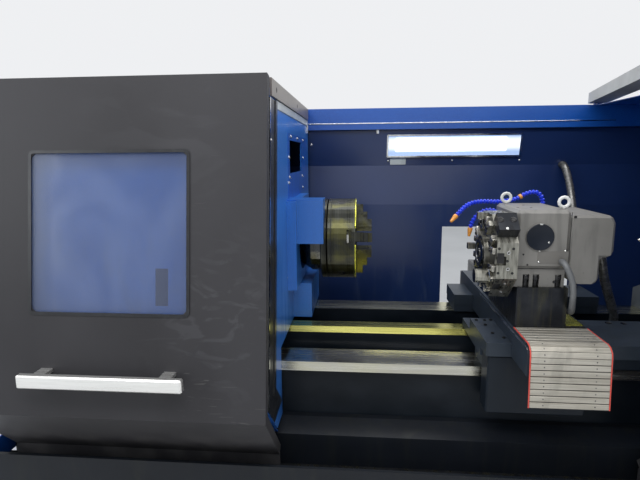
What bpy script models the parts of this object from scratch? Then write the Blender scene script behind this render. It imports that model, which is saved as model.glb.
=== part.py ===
# Flat-bed CNC turning lathe, in metres, +Z up.
# +X runs along the spindle towards the tailstock, +Y to the back, the floor is Z = 0.
# The spindle axis lies at Y = 0, and the origin is the middle of the footprint on the floor.
import bpy
import bmesh
import math
from mathutils import Matrix, Vector

for old in list(bpy.data.objects):
    bpy.data.objects.remove(old)

# Shared sizes
LENGTH = 3.73
DEPTH = 2.24
CENTRE_HEIGHT = 0.405
SEAT = 0.0003
RUNNING = 0.002
SHEET = 0.004
OVERRUN = 0.01
BOND = 0.002
ROUND_SIDES = 24
SMALL_SIDES = 12

# Guards: the section that doors, covers, side wall and end plates follow
GUARD_TOP = 1.886
DOOR_TOP_Y = -0.694
CREASE_Y = -0.893
CREASE_Z = 0.640
SKIRT_Y = -0.630
SKIRT_Z = 0.350
DOOR_DEPTH = 0.040
DOOR_SHEET = 0.003
LEFT_DOOR_WIDTH = 1.180
RIGHT_DOOR_WIDTH = 1.045
OPENING_X = (-0.637, 0.810)
TAIL_COVER_X = 1.110
DOOR_TO_COVER = 0.012
LIP_HEIGHT = 0.048
LIP_THICKNESS = 0.014
WINDOW_WIDTH = 0.600
WINDOW_HEIGHT = 0.587
WINDOW_DROP = 0.274
WINDOW_FROM_HANDLE_SIDE = 0.290
WINDOW_CORNER = 0.030
WINDOW_LAP = 0.025
PANE = 0.008
HANDLE_LENGTH = 0.613
HANDLE_HEIGHT = 0.050
HANDLE_THICKNESS = 0.028
HANDLE_STANDOFF = 0.050
HANDLE_Z = 0.800
HANDLE_BEVEL = 0.005
POST_WIDTH = 0.045
POST_INSET = 0.070
POST_THICKNESS = 0.012

# Rear guard
REAR_FLANGE_Y = 0.745
BEAM_Y = 0.655
BEAM_HEIGHT = 0.130
BEAM_STEP = 0.030
BEAM_STEP_DROP = 0.006
LAMP_PANEL_Y = 0.725
LAMP_PANEL_DROP = 0.356
FOLD_DROP = 0.606
BASE_REAR_Y = 0.700
GUARD_BOTTOM = 0.300
REAR_OPENING_X = (0.225, 1.035)
REAR_OPENING_Z = (0.600, 1.136)
LAMP_X = (-0.135, 0.685)
LAMP_DROP = 0.166
LAMP_HEIGHT = 0.130
LAMP_THICKNESS = 0.012

# Headstock end
WALL_X = -0.650
WALL_THICKNESS = 0.006
WALL_FOOT_Z = 0.430
PORT_Y = (-0.150, 0.300)
PORT_DROP = 0.216
PORT_HEIGHT = 0.160
COVER_SLOT_X = (-1.070, -1.020)
COVER_SLOT_Z = (1.040, 1.180)
NOSE_CLEARANCE = 0.012
PLATE_THICKNESS = 0.044
COLLAR_PLATE_Y = (-0.277, 0.270)
COLLAR_PLATE_Z = (0.967, 1.386)
HOOD_LENGTH = 0.167
HOOD_Y = (-0.245, -0.120)
HOOD_Z = (1.186, 1.394)
STEP_BOX_LENGTH = 0.095
STEP_BOX_Y = (-0.100, 0.300)
STEP_BOX_Z = (0.778, 0.955)

# Base and bed
BASE_BOTTOM = 0.040
BASE_FRONT_Y = -0.750
BASE_RIM_Z = 0.375
RIM_WIDTH = 0.015
PAN_Z = 0.270
LEDGE_Y = -0.585
LEDGE_Z = 0.420
BED_SEAT_Y = -0.500
BED_SEAT_Z = 0.457
BACK_LEDGE_Y = 0.600
PAD_RADIUS = 0.060
PAD_COUNT = 4
PAD_INSET = 0.220
BED_LEFT = -1.360
BED_RIGHT = 1.620
WAY_Z = 0.770
FRONT_RAIL_DROP = 0.060
FRONT_RAIL_Y = (-0.495, -0.345)
FRONT_RAIL_LIP = 0.042
BED_WALL_Y = -0.470
MIDDLE_WAY_Y = (-0.231, -0.134)
MIDDLE_CHAMFER = 0.023
REAR_WAY_Y = (0.074, 0.226)
REAR_WAY_LIP = 0.025
REAR_WALL_Y = 0.200
RECESS_Z = 0.590
TROUGH_Z = 0.560
CHIP_WINDOW_COUNT = 5
CHIP_WINDOW_WIDTH = 0.280
CHIP_WINDOW_Z = (0.575, 0.690)

# Spindle and chuck
CHUCK_RADIUS = 0.203
CHUCK_FACE_X = -0.324
CHUCK_LENGTH = 0.138
BACKPLATE_LENGTH = 0.035
BACKPLATE_GROOVE = 0.004
SPINDLE_BORE = 0.041
CHUCK_BORE = 0.050
NOSE_RADIUS = 0.165
NOSE_LENGTH = 0.050
SPINDLE_RADIUS = 0.085
SPINDLE_TAIL_X = -1.560
SPINDLE_TAIL_RADIUS = 0.055
HEADSTOCK_X = (-1.330, -0.720)
HEADSTOCK_Y = (-0.290, 0.290)
HEADSTOCK_RISE = 0.230
HEADSTOCK_BEVEL = 0.030
BEARING_CAP_RADIUS = 0.150
BEARING_CAP_LENGTH = 0.040
JAW_COUNT = 3
JAW_TILT = math.radians(11)
JAW_WIDTH = 0.044
JAW_KEY_WIDTH = 0.064
JAW_KEY_HEIGHT = 0.014
JAW_SLOT_DEPTH = 0.036
JAW_INNER = 0.056
JAW_OUTER = 0.198
JAW_STEPS = ((0.150, 0.032), (0.103, 0.054), (0.056, 0.078))
JAW_TRAVEL = 0.028
SCROLL_THICKNESS = 0.020
SCROLL_RADIUS = (0.060, 0.146)
SCROLL_POCKET_RADIUS = 0.150
PINION_RADIUS = 0.0155
PINION_INNER = 0.124
KEY_SOCKET = 0.014
KEY_SOCKET_DEPTH = 0.025
PULLEY_RADIUS = 0.150
PULLEY_WIDTH = 0.090
PULLEY_X = -1.500
MOTOR_PULLEY_RADIUS = 0.110
MOTOR_Y = 0.440
MOTOR_Z = 0.640
MOTOR_RADIUS = 0.130
MOTOR_LENGTH = 0.360
MOTOR_FOOT_HALF = 0.110
MOTOR_TO_PULLEY = 0.020
BELT_THICKNESS = 0.010
MOTOR_SHAFT_RADIUS = 0.024

# Saddle and curtain
SADDLE_X = (0.195, 0.930)
CROSS_X = (0.292, 0.585)
CROSS_Y = (-0.787, 0.400)
CROSS_RISE = 0.145
CROSS_BOTTOM_RISE = 0.020
WING_RISE = 0.092
FRONT_WING_Y = (-0.612, -0.315)
FRONT_FOOT_BACK = -0.152
REAR_WING_Y = (0.060, 0.290)
WING_CHAMFER = 0.020
NOSE_ROUND = 0.030
CROSS_WAY_WIDTH = 0.018
CROSS_WAY_HEIGHT = 0.008
GIB_DROP_Y = (-0.490, -0.352)
APRON_Y = (-0.606, -0.512)
APRON_X = (0.205, 0.590)
APRON_HEIGHT = 0.246
APRON_RISE = 0.036
APRON_BEVEL = 0.006
NUT_X = (0.400, 0.500)
NUT_Y_HALF = 0.034
Z_SCREW_Y = -0.288
Z_SCREW_DROP = 0.115
Z_SCREW_RADIUS = 0.020
Z_MOTOR_LENGTH = 0.220
Z_MOTOR_HALF = 0.065
CURTAIN_X = (0.2965, 0.577)
CURTAIN_THICKNESS = 0.005
CURTAIN_DROP = 0.215
CURTAIN_FLARE = 0.014
SLAT_GROOVE = 0.0016
TOP_SLATS = 6
HANG_SLATS = 8

# Cross slide, turret
TABLE_Y = (-0.600, -0.060)
TABLE_HEIGHT = 0.018
BLOCK_X = (0.302, 0.4925)
BLOCK_Y = (-0.598, -0.200)
BLOCK_RISE = 0.170
FLANGE_X = (0.292, 0.480)
FLANGE_Y = (-0.585, -0.250)
FLANGE_HEIGHT = 0.075
CLAMP_BOLT_SHARES = (0.24, 0.44, 0.88)
CLAMP_BOLT_RADIUS = 0.009
CLAMP_SLOT_WIDTH = 0.024
CLAMP_SLOT_DEPTH = 0.022
CLAMP_SLOT_HEIGHT = 0.050
HOUSING_X = (0.2865, 0.484)
HOUSING_Y = (-0.600, -0.300)
HOUSING_HEIGHT = 0.225
HOUSING_BEVEL = 0.012
COVER_RADIUS = 0.052
COVER_RISE = 0.124
COVER_X = 0.373
COVER_THICKNESS = 0.005
MOTOR_COVER_RIGHT = 0.648
MOTOR_COVER_Y = (-0.596, -0.285)
MOTOR_COVER_RISE = 0.205
MOTOR_COVER_DROP = 0.060
MOTOR_COVER_CHAMFER = 0.060
MOTOR_COVER_STEP_X = 0.602
MOTOR_COVER_STEP_RISE = 0.045
EYE_RADIUS = 0.019
EYE_WIRE = 0.0065
EYE_COLLAR = 0.014
EYE_SPOTS = ((0.316, -0.345), (0.472, -0.550))
DISC_X = (0.205, 0.283)
DISC_Y = -0.485
DISC_RISE = 0.040
DISC_RADIUS = 0.178
STATIONS = 8
DISC_HUB_RADIUS = 0.070
DISC_HUB_LENGTH = 0.022
POCKET_WIDTH = 0.034
POCKET_DEPTH = 0.012
POCKET_LENGTH = 0.070
TOOL_BLOCK_WIDTH = 0.080
TOOL_BLOCK_HEIGHT = 0.045
SHANK = 0.025
SHANK_REACH = 0.040
HOLDER_RADIUS = 0.028
HOLDER_REACH = 0.060
HOSE_RADIUS = 0.010
CONDUIT_RADIUS = 0.0118
REAR_CONDUIT_RADIUS = 0.020
OVERHEAD_RADIUS = 0.022
X_SCREW_RADIUS = 0.014
X_SCREW_DROP = 0.035
X_SCREW_X = 0.4375
X_CHANNEL_WIDTH = 0.060
X_CHANNEL_DEPTH = 0.062
X_NUT_WIDTH = 0.050
X_MOTOR_LENGTH = 0.200
X_MOTOR_HALF = 0.062

# Tailstock
TAIL_X = (1.190, 1.540)
TAIL_HALF_WIDTH = 0.150
TAIL_FOOT_Y = (-0.250, 0.240)
TAIL_FOOT_HEIGHT = 0.100
TAIL_BARREL_RADIUS = 0.105
TAIL_END_WALL = 0.030
WHEEL_SHAFT_RADIUS = 0.014
QUILL_RADIUS = 0.050
QUILL_REACH = 0.060
QUILL_BORE = 0.020
QUILL_TRAVEL = 0.120
CENTRE_RADIUS = 0.034
CENTRE_LENGTH = 0.075
HANDWHEEL_RADIUS = 0.110
HANDWHEEL_RIM = 0.012
HANDWHEEL_GAP = 0.030
HUB_RADIUS = 0.026
CRANK_RADIUS = 0.010
CRANK_LENGTH = 0.055

# Back of the machine
CABINET_X = (-1.500, -0.400)
CABINET_TOP = 1.260
CABINET_PLINTH = 0.080
CABINET_INSET = 0.020
TANK_X = (0.250, 1.010)
TANK_DEPTH = 0.380
TANK_TOP = 0.400
PUMP_RADIUS = 0.070
PUMP_HEIGHT = 0.260

# Pendant
PIVOT_X = 1.130
PIVOT_Y = 0.700
PIVOT_RADIUS = 0.050
PIVOT_HEIGHT = 0.014
PENDANT_SETBACK = 0.078
ARM_ANGLE = math.radians(12.7)
ARM_WIDTH = 0.110
ARM_HEIGHT = 0.060
HANGER_RADIUS = 0.028
PENDANT_WIDTH = 0.380
PENDANT_HANG = 0.150
PENDANT_HEIGHT = 0.520
CONSOLE_HEIGHT = 0.210
PENDANT_THICKNESS = 0.110
CONSOLE_DEPTH = 0.038
CONSOLE_SLOPE = 0.050
PENDANT_BEVEL = 0.008
ESTOP_RADIUS = 0.020
ESTOP_REACH = 0.021
BUTTON_RADIUS = 0.012
BUTTON_REACH = 0.010
KNOB_RADIUS = 0.016
KNOB_REACH = 0.020
PULSE_RADIUS = 0.034
PULSE_REACH = 0.022
STEM_SHARE = 0.5
BUTTON_DEPTH = 0.012
SCREEN_LENGTH = 0.260
SCREEN_HEIGHT = 0.200
SCREEN_DEPTH = 0.006

# Derived places
HALF_LENGTH = LENGTH / 2
HALF_DEPTH = DEPTH / 2
BODY_X = (SHEET + SEAT - HALF_LENGTH, HALF_LENGTH - SHEET - SEAT)
CHUCK_BACK_X = CHUCK_FACE_X - CHUCK_LENGTH
BACKPLATE_BACK_X = CHUCK_BACK_X - SEAT - BACKPLATE_LENGTH
NOSE_FACE_X = BACKPLATE_BACK_X - SEAT
WALL_FACE_X = WALL_X + WALL_THICKNESS
WINDOW_TOP = GUARD_TOP - WINDOW_DROP
WINDOW_BOTTOM = WINDOW_TOP - WINDOW_HEIGHT
LAMP_PANEL_Z = GUARD_TOP - LAMP_PANEL_DROP
FOLD_Z = GUARD_TOP - FOLD_DROP
LAMP_TOP = GUARD_TOP - LAMP_DROP
PORT_Z = (GUARD_TOP - PORT_DROP - PORT_HEIGHT, GUARD_TOP - PORT_DROP)
SPINDLE_HEIGHT = WAY_Z + CENTRE_HEIGHT
HEADSTOCK_TOP = SPINDLE_HEIGHT + HEADSTOCK_RISE
FRONT_RAIL_Z = WAY_Z - FRONT_RAIL_DROP
Z_SCREW_Z = WAY_Z - Z_SCREW_DROP
TAIL_FOOT_TOP = WAY_Z + TAIL_FOOT_HEIGHT
WING_TOP = WAY_Z + WING_RISE
APRON_TOP = WAY_Z + APRON_RISE
APRON_BOTTOM = APRON_TOP - APRON_HEIGHT
CROSS_TOP = WAY_Z + CROSS_RISE
CROSS_BOTTOM = WAY_Z + CROSS_BOTTOM_RISE
X_SCREW_Z = CROSS_TOP - X_SCREW_DROP
CURTAIN_BOTTOM = CROSS_TOP - CURTAIN_DROP
BLOCK_TOP = CROSS_TOP + BLOCK_RISE
FLANGE_TOP = BLOCK_TOP + FLANGE_HEIGHT
HOUSING_TOP = FLANGE_TOP + HOUSING_HEIGHT
COVER_Z = FLANGE_TOP + COVER_RISE
MOTOR_COVER_TOP = FLANGE_TOP + MOTOR_COVER_RISE
MOTOR_COVER_BOTTOM = FLANGE_TOP - MOTOR_COVER_DROP
MOTOR_COVER_STEP_Z = FLANGE_TOP + MOTOR_COVER_STEP_RISE
DISC_Z = FLANGE_TOP + DISC_RISE
PENDANT_FRONT = PULSE_REACH - HALF_DEPTH
HANG_Y = PENDANT_FRONT + PENDANT_SETBACK
ARM_LENGTH = (PIVOT_Y - HANG_Y) / math.cos(ARM_ANGLE)
HANG_X = PIVOT_X - ARM_LENGTH * math.sin(ARM_ANGLE)
ARM_BOTTOM = GUARD_TOP + PIVOT_HEIGHT + SEAT
PENDANT_TOP = ARM_BOTTOM - PENDANT_HANG
PENDANT_BOTTOM = PENDANT_TOP - PENDANT_HEIGHT
PENDANT_CHIN_Z = PENDANT_BOTTOM + CONSOLE_HEIGHT
TAIL_QUILL_X = TAIL_X[0] - QUILL_REACH
CENTRE_TIP_X = TAIL_QUILL_X - CENTRE_LENGTH


# Collections
def new_collection(name):
    collection = bpy.data.collections.new(name)
    bpy.context.scene.collection.children.link(collection)
    return collection


PARTS = new_collection("cnc_turning_lathe")
CUTTERS = new_collection("cutters")


# Finishes: colour, roughness and metallic value
FINISHES = {
    "door_paint": ((0.060, 0.060, 0.068), 0.45, 0.0),
    "blue_paint": ((0.010, 0.090, 0.420), 0.40, 0.0),
    "grey_paint": ((0.210, 0.205, 0.190), 0.45, 0.0),
    "dark_paint": ((0.030, 0.036, 0.045), 0.50, 0.0),
    "light_paint": ((0.560, 0.560, 0.530), 0.50, 0.0),
    "casting": ((0.075, 0.090, 0.105), 0.50, 0.2),
    "bed_iron": ((0.040, 0.052, 0.062), 0.45, 0.3),
    "ground_steel": ((0.450, 0.430, 0.330), 0.25, 1.0),
    "bright_steel": ((0.620, 0.620, 0.610), 0.22, 1.0),
    "black_steel": ((0.030, 0.032, 0.036), 0.40, 0.6),
    "aluminium": ((0.480, 0.460, 0.400), 0.35, 0.8),
    "handle_metal": ((0.700, 0.690, 0.660), 0.30, 0.7),
    "pane": ((0.350, 0.450, 0.550), 0.05, 0.0),
    "lamp_lens": ((0.900, 0.950, 1.000), 0.20, 0.0),
    "blue_plastic": ((0.010, 0.040, 0.700), 0.35, 0.0),
    "grey_rubber": ((0.200, 0.200, 0.200), 0.60, 0.0),
    "belt_rubber": ((0.020, 0.020, 0.020), 0.70, 0.0),
    "red_plastic": ((0.600, 0.020, 0.020), 0.35, 0.0),
    "green_plastic": ((0.020, 0.350, 0.080), 0.35, 0.0),
    "black_plastic": ((0.020, 0.020, 0.022), 0.40, 0.0),
}


def finish(obj, name):
    colour, roughness, metallic = FINISHES[name]
    material = bpy.data.materials.new(obj.name + "_" + name)
    material.use_nodes = True
    shader = material.node_tree.nodes["Principled BSDF"]
    shader.inputs["Base Color"].default_value = (*colour, 1.0)
    shader.inputs["Roughness"].default_value = roughness
    shader.inputs["Metallic"].default_value = metallic
    obj.data.materials.clear()
    obj.data.materials.append(material)
    return obj


# Solids
def centre(span):
    return (span[0] + span[1]) / 2


def length_of(span):
    return span[1] - span[0]


def clear_of(radius, sides=ROUND_SIDES):
    """Radius of a faceted hole in which a round piece of this radius turns freely."""
    return (radius + SEAT) / math.cos(math.pi / sides)


def inset(span, amount):
    return (span[0] + amount, span[1] - amount)


def at_share(span, share):
    return span[0] + length_of(span) * share


def new_object(name, mesh, location=(0, 0, 0)):
    obj = bpy.data.objects.new(name, mesh)
    obj.location = location
    PARTS.objects.link(obj)
    return obj


def box(name, x, y, z):
    bm = bmesh.new()
    size = Vector((length_of(x), length_of(y), length_of(z)))
    bmesh.ops.create_cube(bm, size=1, matrix=Matrix.Diagonal(size.to_4d()))
    mesh = bpy.data.meshes.new(name)
    bm.to_mesh(mesh)
    bm.free()
    return new_object(name, mesh, (centre(x), centre(y), centre(z)))


AXIS_TURN = {
    "X": Matrix(((0, 0, 1), (1, 0, 0), (0, 1, 0))),
    "Y": Matrix(((1, 0, 0), (0, 0, -1), (0, 1, 0))),
    "Z": Matrix.Identity(3),
}


def prism(name, outline, axis, span):
    """Extrude a flat outline. It is given as (Y, Z) along X, (X, Z) along Y, (X, Y) along Z."""
    curve = bpy.data.curves.new(name, "CURVE")
    curve.dimensions = "2D"
    curve.fill_mode = "BOTH"
    curve.extrude = length_of(span) / 2
    spline = curve.splines.new("POLY")
    spline.points.add(len(outline) - 1)
    for point, place in zip(spline.points, outline):
        point.co = (place[0], place[1], 0, 1)
    spline.use_cyclic_u = True
    flat = bpy.data.objects.new(name + "_outline", curve)
    mesh = mesh_of_curve(flat, name)
    mesh.transform(AXIS_TURN[axis].to_4x4())
    place = [0, 0, 0]
    place["XYZ".index(axis)] = centre(span)
    return new_object(name, mesh, place)


def mesh_of_curve(flat, name):
    bpy.context.scene.collection.objects.link(flat)
    bpy.context.view_layer.update()
    evaluated = flat.evaluated_get(bpy.context.evaluated_depsgraph_get())
    mesh = bpy.data.meshes.new_from_object(evaluated)
    mesh.name = name
    bpy.data.objects.remove(flat)
    bm = bmesh.new()
    bm.from_mesh(mesh)
    bmesh.ops.remove_doubles(bm, verts=bm.verts, dist=0.00001)
    bmesh.ops.recalc_face_normals(bm, faces=bm.faces)
    bm.to_mesh(mesh)
    bm.free()
    return mesh


def tube(name, points, radius, sides=2):
    """A round tube through points, with its caps closed."""
    curve = bpy.data.curves.new(name, "CURVE")
    curve.dimensions = "3D"
    curve.bevel_depth = radius
    curve.bevel_resolution = sides
    curve.use_fill_caps = True
    spline = curve.splines.new("POLY")
    spline.points.add(len(points) - 1)
    for point, place in zip(spline.points, points):
        point.co = (*place, 1)
    holder = bpy.data.objects.new(name + "_route", curve)
    return new_object(name, mesh_of_curve(holder, name))


def smooth_route(points, steps):
    """Points along a Catmull-Rom curve through the route's own points, with straight ends."""
    ends = [points[0]] + list(points) + [points[-1]]
    last = len(points) - 2
    route = []
    for i in range(last + 1):
        a, b, c, d = (Vector(p) for p in ends[i:i + 4])
        for step in range(steps if 0 < i < last else 1):
            t = step / steps
            route.append((b * 2 + (c - a) * t + (a * 2 - b * 5 + c * 4 - d) * t ** 2
                          + (b * 3 - a - c * 3 + d) * t ** 3) / 2)
    route.append(Vector(points[-1]))
    return route


AXIS_ROTATION = {"X": (0, math.pi / 2, 0), "Y": (-math.pi / 2, 0, 0), "Z": (0, 0, 0)}


def cylinder(name, place, radius, length, axis="Z", sides=ROUND_SIDES, tip_radius=None):
    """A cylinder or cone whose base centre is at place and which rises along the axis."""
    bm = bmesh.new()
    top = radius if tip_radius is None else tip_radius
    bmesh.ops.create_cone(bm, cap_ends=True, segments=sides, radius1=radius, radius2=top, depth=length,
                          matrix=Matrix.Translation((0, 0, length / 2)))
    mesh = bpy.data.meshes.new(name)
    bm.to_mesh(mesh)
    bm.free()
    mesh.shade_smooth()
    mesh.set_sharp_from_angle(angle=math.radians(35))
    obj = new_object(name, mesh, place)
    obj.rotation_euler = AXIS_ROTATION[axis]
    return obj


def turned(name, profile, place, axis="X", sides=ROUND_SIDES, ring=False):
    """Turn a profile of (radius, height) about the axis. It runs down its outer side."""
    bm = bmesh.new()
    verts = [bm.verts.new((radius, 0, height)) for radius, height in profile]
    for first, second in zip(verts, verts[1:]):
        bm.edges.new((first, second))
    if ring:
        bm.edges.new((verts[-1], verts[0]))
    mesh = bpy.data.meshes.new(name)
    bm.to_mesh(mesh)
    bm.free()
    obj = new_object(name, mesh, place)
    obj.rotation_euler = AXIS_ROTATION[axis]
    screw = obj.modifiers.new("turn", "SCREW")
    screw.steps = sides
    screw.render_steps = sides
    screw.use_merge_vertices = True
    screw.merge_threshold = 0.00001
    return obj


def as_tool(tool):
    PARTS.objects.unlink(tool)
    CUTTERS.objects.link(tool)
    tool.hide_render = True
    tool.display_type = "WIRE"


def combine(obj, tool, operation):
    as_tool(tool)
    modifier = obj.modifiers.new(tool.name, "BOOLEAN")
    modifier.operation = operation
    modifier.solver = "EXACT"
    modifier.object = tool


def cut(obj, tool):
    combine(obj, tool, "DIFFERENCE")


def fuse(obj, tool):
    combine(obj, tool, "UNION")


def bevel(obj, width, segments=1):
    modifier = obj.modifiers.new("edges", "BEVEL")
    modifier.width = width
    modifier.segments = segments
    modifier.limit_method = "ANGLE"
    modifier.angle_limit = math.radians(40)
    return obj


def rounded(x, z, radius, steps=3):
    """Outline of a rectangle with round corners."""
    outline = []
    corners = ((x[1], z[1], 0), (x[0], z[1], 1), (x[0], z[0], 2), (x[1], z[0], 3))
    for corner_x, corner_z, quarter in corners:
        middle_x = corner_x - math.copysign(radius, corner_x - centre(x))
        middle_z = corner_z - math.copysign(radius, corner_z - centre(z))
        for step in range(steps + 1):
            angle = math.pi / 2 * (quarter + step / steps)
            outline.append((middle_x + radius * math.cos(angle), middle_z + radius * math.sin(angle)))
    return outline


def offset(line, distance):
    """Move an open line of (Y, Z) points sideways, to the left of its direction, with mitred corners."""
    moved = []
    for i, point in enumerate(line):
        here = Vector(point)
        before = (here - Vector(line[i - 1])).normalized() if i else None
        after = (Vector(line[i + 1]) - here).normalized() if i + 1 < len(line) else None
        before = before or after
        after = after or before
        left_before = Vector((-before.y, before.x))
        left_after = Vector((-after.y, after.x))
        middle = (left_before + left_after).normalized()
        moved.append(tuple(here + middle * (distance / middle.dot(left_before))))
    return moved


def band(line, near, far):
    """Outline of the strip between two offsets of a line."""
    return offset(line, near) + list(reversed(offset(line, far)))


def height_cross(line, z):
    """The Y at which a falling line passes a height."""
    for first, second in zip(line, line[1:]):
        if second[1] <= z <= first[1]:
            share = (first[1] - z) / (first[1] - second[1])
            return first[0] + (second[0] - first[0]) * share
    return line[-1][0]


# Bodies: one empty each, on the axis of the joint that carries it
BODIES = {}


def body(name, place=(0, 0, 0), parent=None):
    empty = bpy.data.objects.new("body_" + name, None)
    empty.empty_display_size = HANDLE_HEIGHT
    PARTS.objects.link(empty)
    empty.location = place
    if parent:
        empty.parent = BODIES[parent]
        empty.matrix_parent_inverse = Matrix.Translation(BODIES[parent]["place"]).inverted()
    empty["place"] = place
    BODIES[name] = empty


def carry(obj, name):
    obj.parent = BODIES[name]
    obj.matrix_parent_inverse = Matrix.Translation(BODIES[name]["place"]).inverted()
    return obj


# Guard sections, as falling lines of (Y, Z) from the top down
DOOR_LINE = [(DOOR_TOP_Y, GUARD_TOP), (CREASE_Y, CREASE_Z), (SKIRT_Y, SKIRT_Z)]
COVER_OFFSET = DOOR_DEPTH + DOOR_TO_COVER
REAR_LINE = [
    (REAR_FLANGE_Y, GUARD_TOP),
    (BEAM_Y, GUARD_TOP),
    (BEAM_Y, GUARD_TOP - BEAM_HEIGHT),
    (BEAM_Y + BEAM_STEP, GUARD_TOP - BEAM_HEIGHT - BEAM_STEP_DROP),
    (LAMP_PANEL_Y, LAMP_PANEL_Z),
    (BASE_REAR_Y + SEAT, FOLD_Z),
    (BASE_REAR_Y + SEAT, GUARD_BOTTOM),
]


def cover_line():
    """The fixed cover from its roof's back edge to the ledge of the base."""
    inner = offset(DOOR_LINE, COVER_OFFSET)
    return [
        (BEAM_Y - SEAT, GUARD_TOP),
        (inner[0][0], GUARD_TOP),
        inner[1],
        (LEDGE_Y + SHEET, LEDGE_Z + SHEET + SEAT),
    ]


COVER_LINE = cover_line()


# Base with its chip tray, and the bed
def make_base():
    outline = [
        (BASE_FRONT_Y, BASE_BOTTOM),
        (BASE_REAR_Y, BASE_BOTTOM),
        (BASE_REAR_Y, BASE_RIM_Z),
        (BASE_REAR_Y - RIM_WIDTH, BASE_RIM_Z),
        (BASE_REAR_Y - RIM_WIDTH, PAN_Z),
        (BACK_LEDGE_Y, PAN_Z),
        (BACK_LEDGE_Y, BED_SEAT_Z),
        (BED_SEAT_Y, BED_SEAT_Z),
        (LEDGE_Y, LEDGE_Z),
        (LEDGE_Y, PAN_Z),
        (BASE_FRONT_Y + RIM_WIDTH, PAN_Z),
        (BASE_FRONT_Y + RIM_WIDTH, BASE_RIM_Z),
        (BASE_FRONT_Y, BASE_RIM_Z),
    ]
    base = prism("base_frame", outline, "X", BODY_X)
    usable = inset(BODY_X, PAD_INSET)
    for row, pad_y in enumerate((BASE_FRONT_Y + PAD_INSET, BASE_REAR_Y - PAD_INSET)):
        for i in range(PAD_COUNT):
            place = (at_share(usable, i / (PAD_COUNT - 1)), pad_y, 0)
            fuse(base, cylinder(f"pad_{row}_{i}", place, PAD_RADIUS, BASE_BOTTOM + BOND, sides=SMALL_SIDES))
    return carry(finish(base, "dark_paint"), "machine")


def make_door_rail():
    rail_top = SKIRT_Z - LIP_HEIGHT - SEAT
    rail = box("lower_door_rail", BODY_X, (SKIRT_Y, SKIRT_Y + LIP_THICKNESS), (PAN_Z + SEAT, rail_top))
    return carry(finish(rail, "black_steel"), "machine")


def make_bed():
    outline = [
        (BED_WALL_Y, BED_SEAT_Z + SEAT),
        (REAR_WALL_Y, BED_SEAT_Z + SEAT),
        (REAR_WALL_Y, WAY_Z - REAR_WAY_LIP),
        (REAR_WAY_Y[1], WAY_Z - REAR_WAY_LIP),
        (REAR_WAY_Y[1], WAY_Z),
        (REAR_WAY_Y[0], WAY_Z),
        (REAR_WAY_Y[0], TROUGH_Z),
        (MIDDLE_WAY_Y[1], TROUGH_Z),
        (MIDDLE_WAY_Y[1], WAY_Z),
        (MIDDLE_WAY_Y[0] + MIDDLE_CHAMFER, WAY_Z),
        (MIDDLE_WAY_Y[0], WAY_Z - MIDDLE_CHAMFER),
        (MIDDLE_WAY_Y[0], RECESS_Z),
        (FRONT_RAIL_Y[1], RECESS_Z),
        (FRONT_RAIL_Y[1], FRONT_RAIL_Z),
        (FRONT_RAIL_Y[0], FRONT_RAIL_Z),
        (FRONT_RAIL_Y[0], FRONT_RAIL_Z - FRONT_RAIL_LIP),
        (BED_WALL_Y, FRONT_RAIL_Z - FRONT_RAIL_LIP),
    ]
    bed = prism("bed_casting", outline, "X", (BED_LEFT, BED_RIGHT))
    windows = (WALL_FACE_X, BED_RIGHT)
    pitch = length_of(windows) / CHIP_WINDOW_COUNT
    through = (REAR_WAY_Y[0] - OVERRUN, REAR_WALL_Y + OVERRUN)
    for i in range(CHIP_WINDOW_COUNT):
        middle = windows[0] + pitch * (i + 1 / 2)
        half = CHIP_WINDOW_WIDTH / 2
        cut(bed, box(f"chip_window_{i}", (middle - half, middle + half), through, CHIP_WINDOW_Z))
    return carry(finish(bed, "bed_iron"), "machine")


# Fixed guards
def make_cover(side, x):
    cover = prism(side + "_cover", band(COVER_LINE, 0, SHEET), "X", x)
    return carry(finish(cover, "blue_paint"), "machine")


def make_covers():
    left = make_cover("headstock", (BODY_X[0], WALL_X - SEAT))
    slot_y = (CREASE_Y, HEADSTOCK_Y[0])
    cut(left, box("cover_slot", COVER_SLOT_X, slot_y, COVER_SLOT_Z))
    make_cover("tail", (TAIL_COVER_X, BODY_X[1]))


def make_end_plate(name, x, with_bore):
    front = offset(COVER_LINE, 0)
    outline = [(REAR_FLANGE_Y, GUARD_TOP)] + front[1:3]
    outline += [(LEDGE_Y, LEDGE_Z + SEAT), (BASE_FRONT_Y, BASE_RIM_Z), (BASE_FRONT_Y, GUARD_BOTTOM)]
    outline += [(REAR_FLANGE_Y, GUARD_BOTTOM)]
    plate = prism(name, outline, "X", x)
    if with_bore:
        place = (x[0] - OVERRUN, 0, SPINDLE_HEIGHT)
        cut(plate, cylinder("bar_hole", place, SPINDLE_TAIL_RADIUS, length_of(x) + OVERRUN * 2, "X"))
    return carry(finish(plate, "blue_paint"), "machine")


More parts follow.
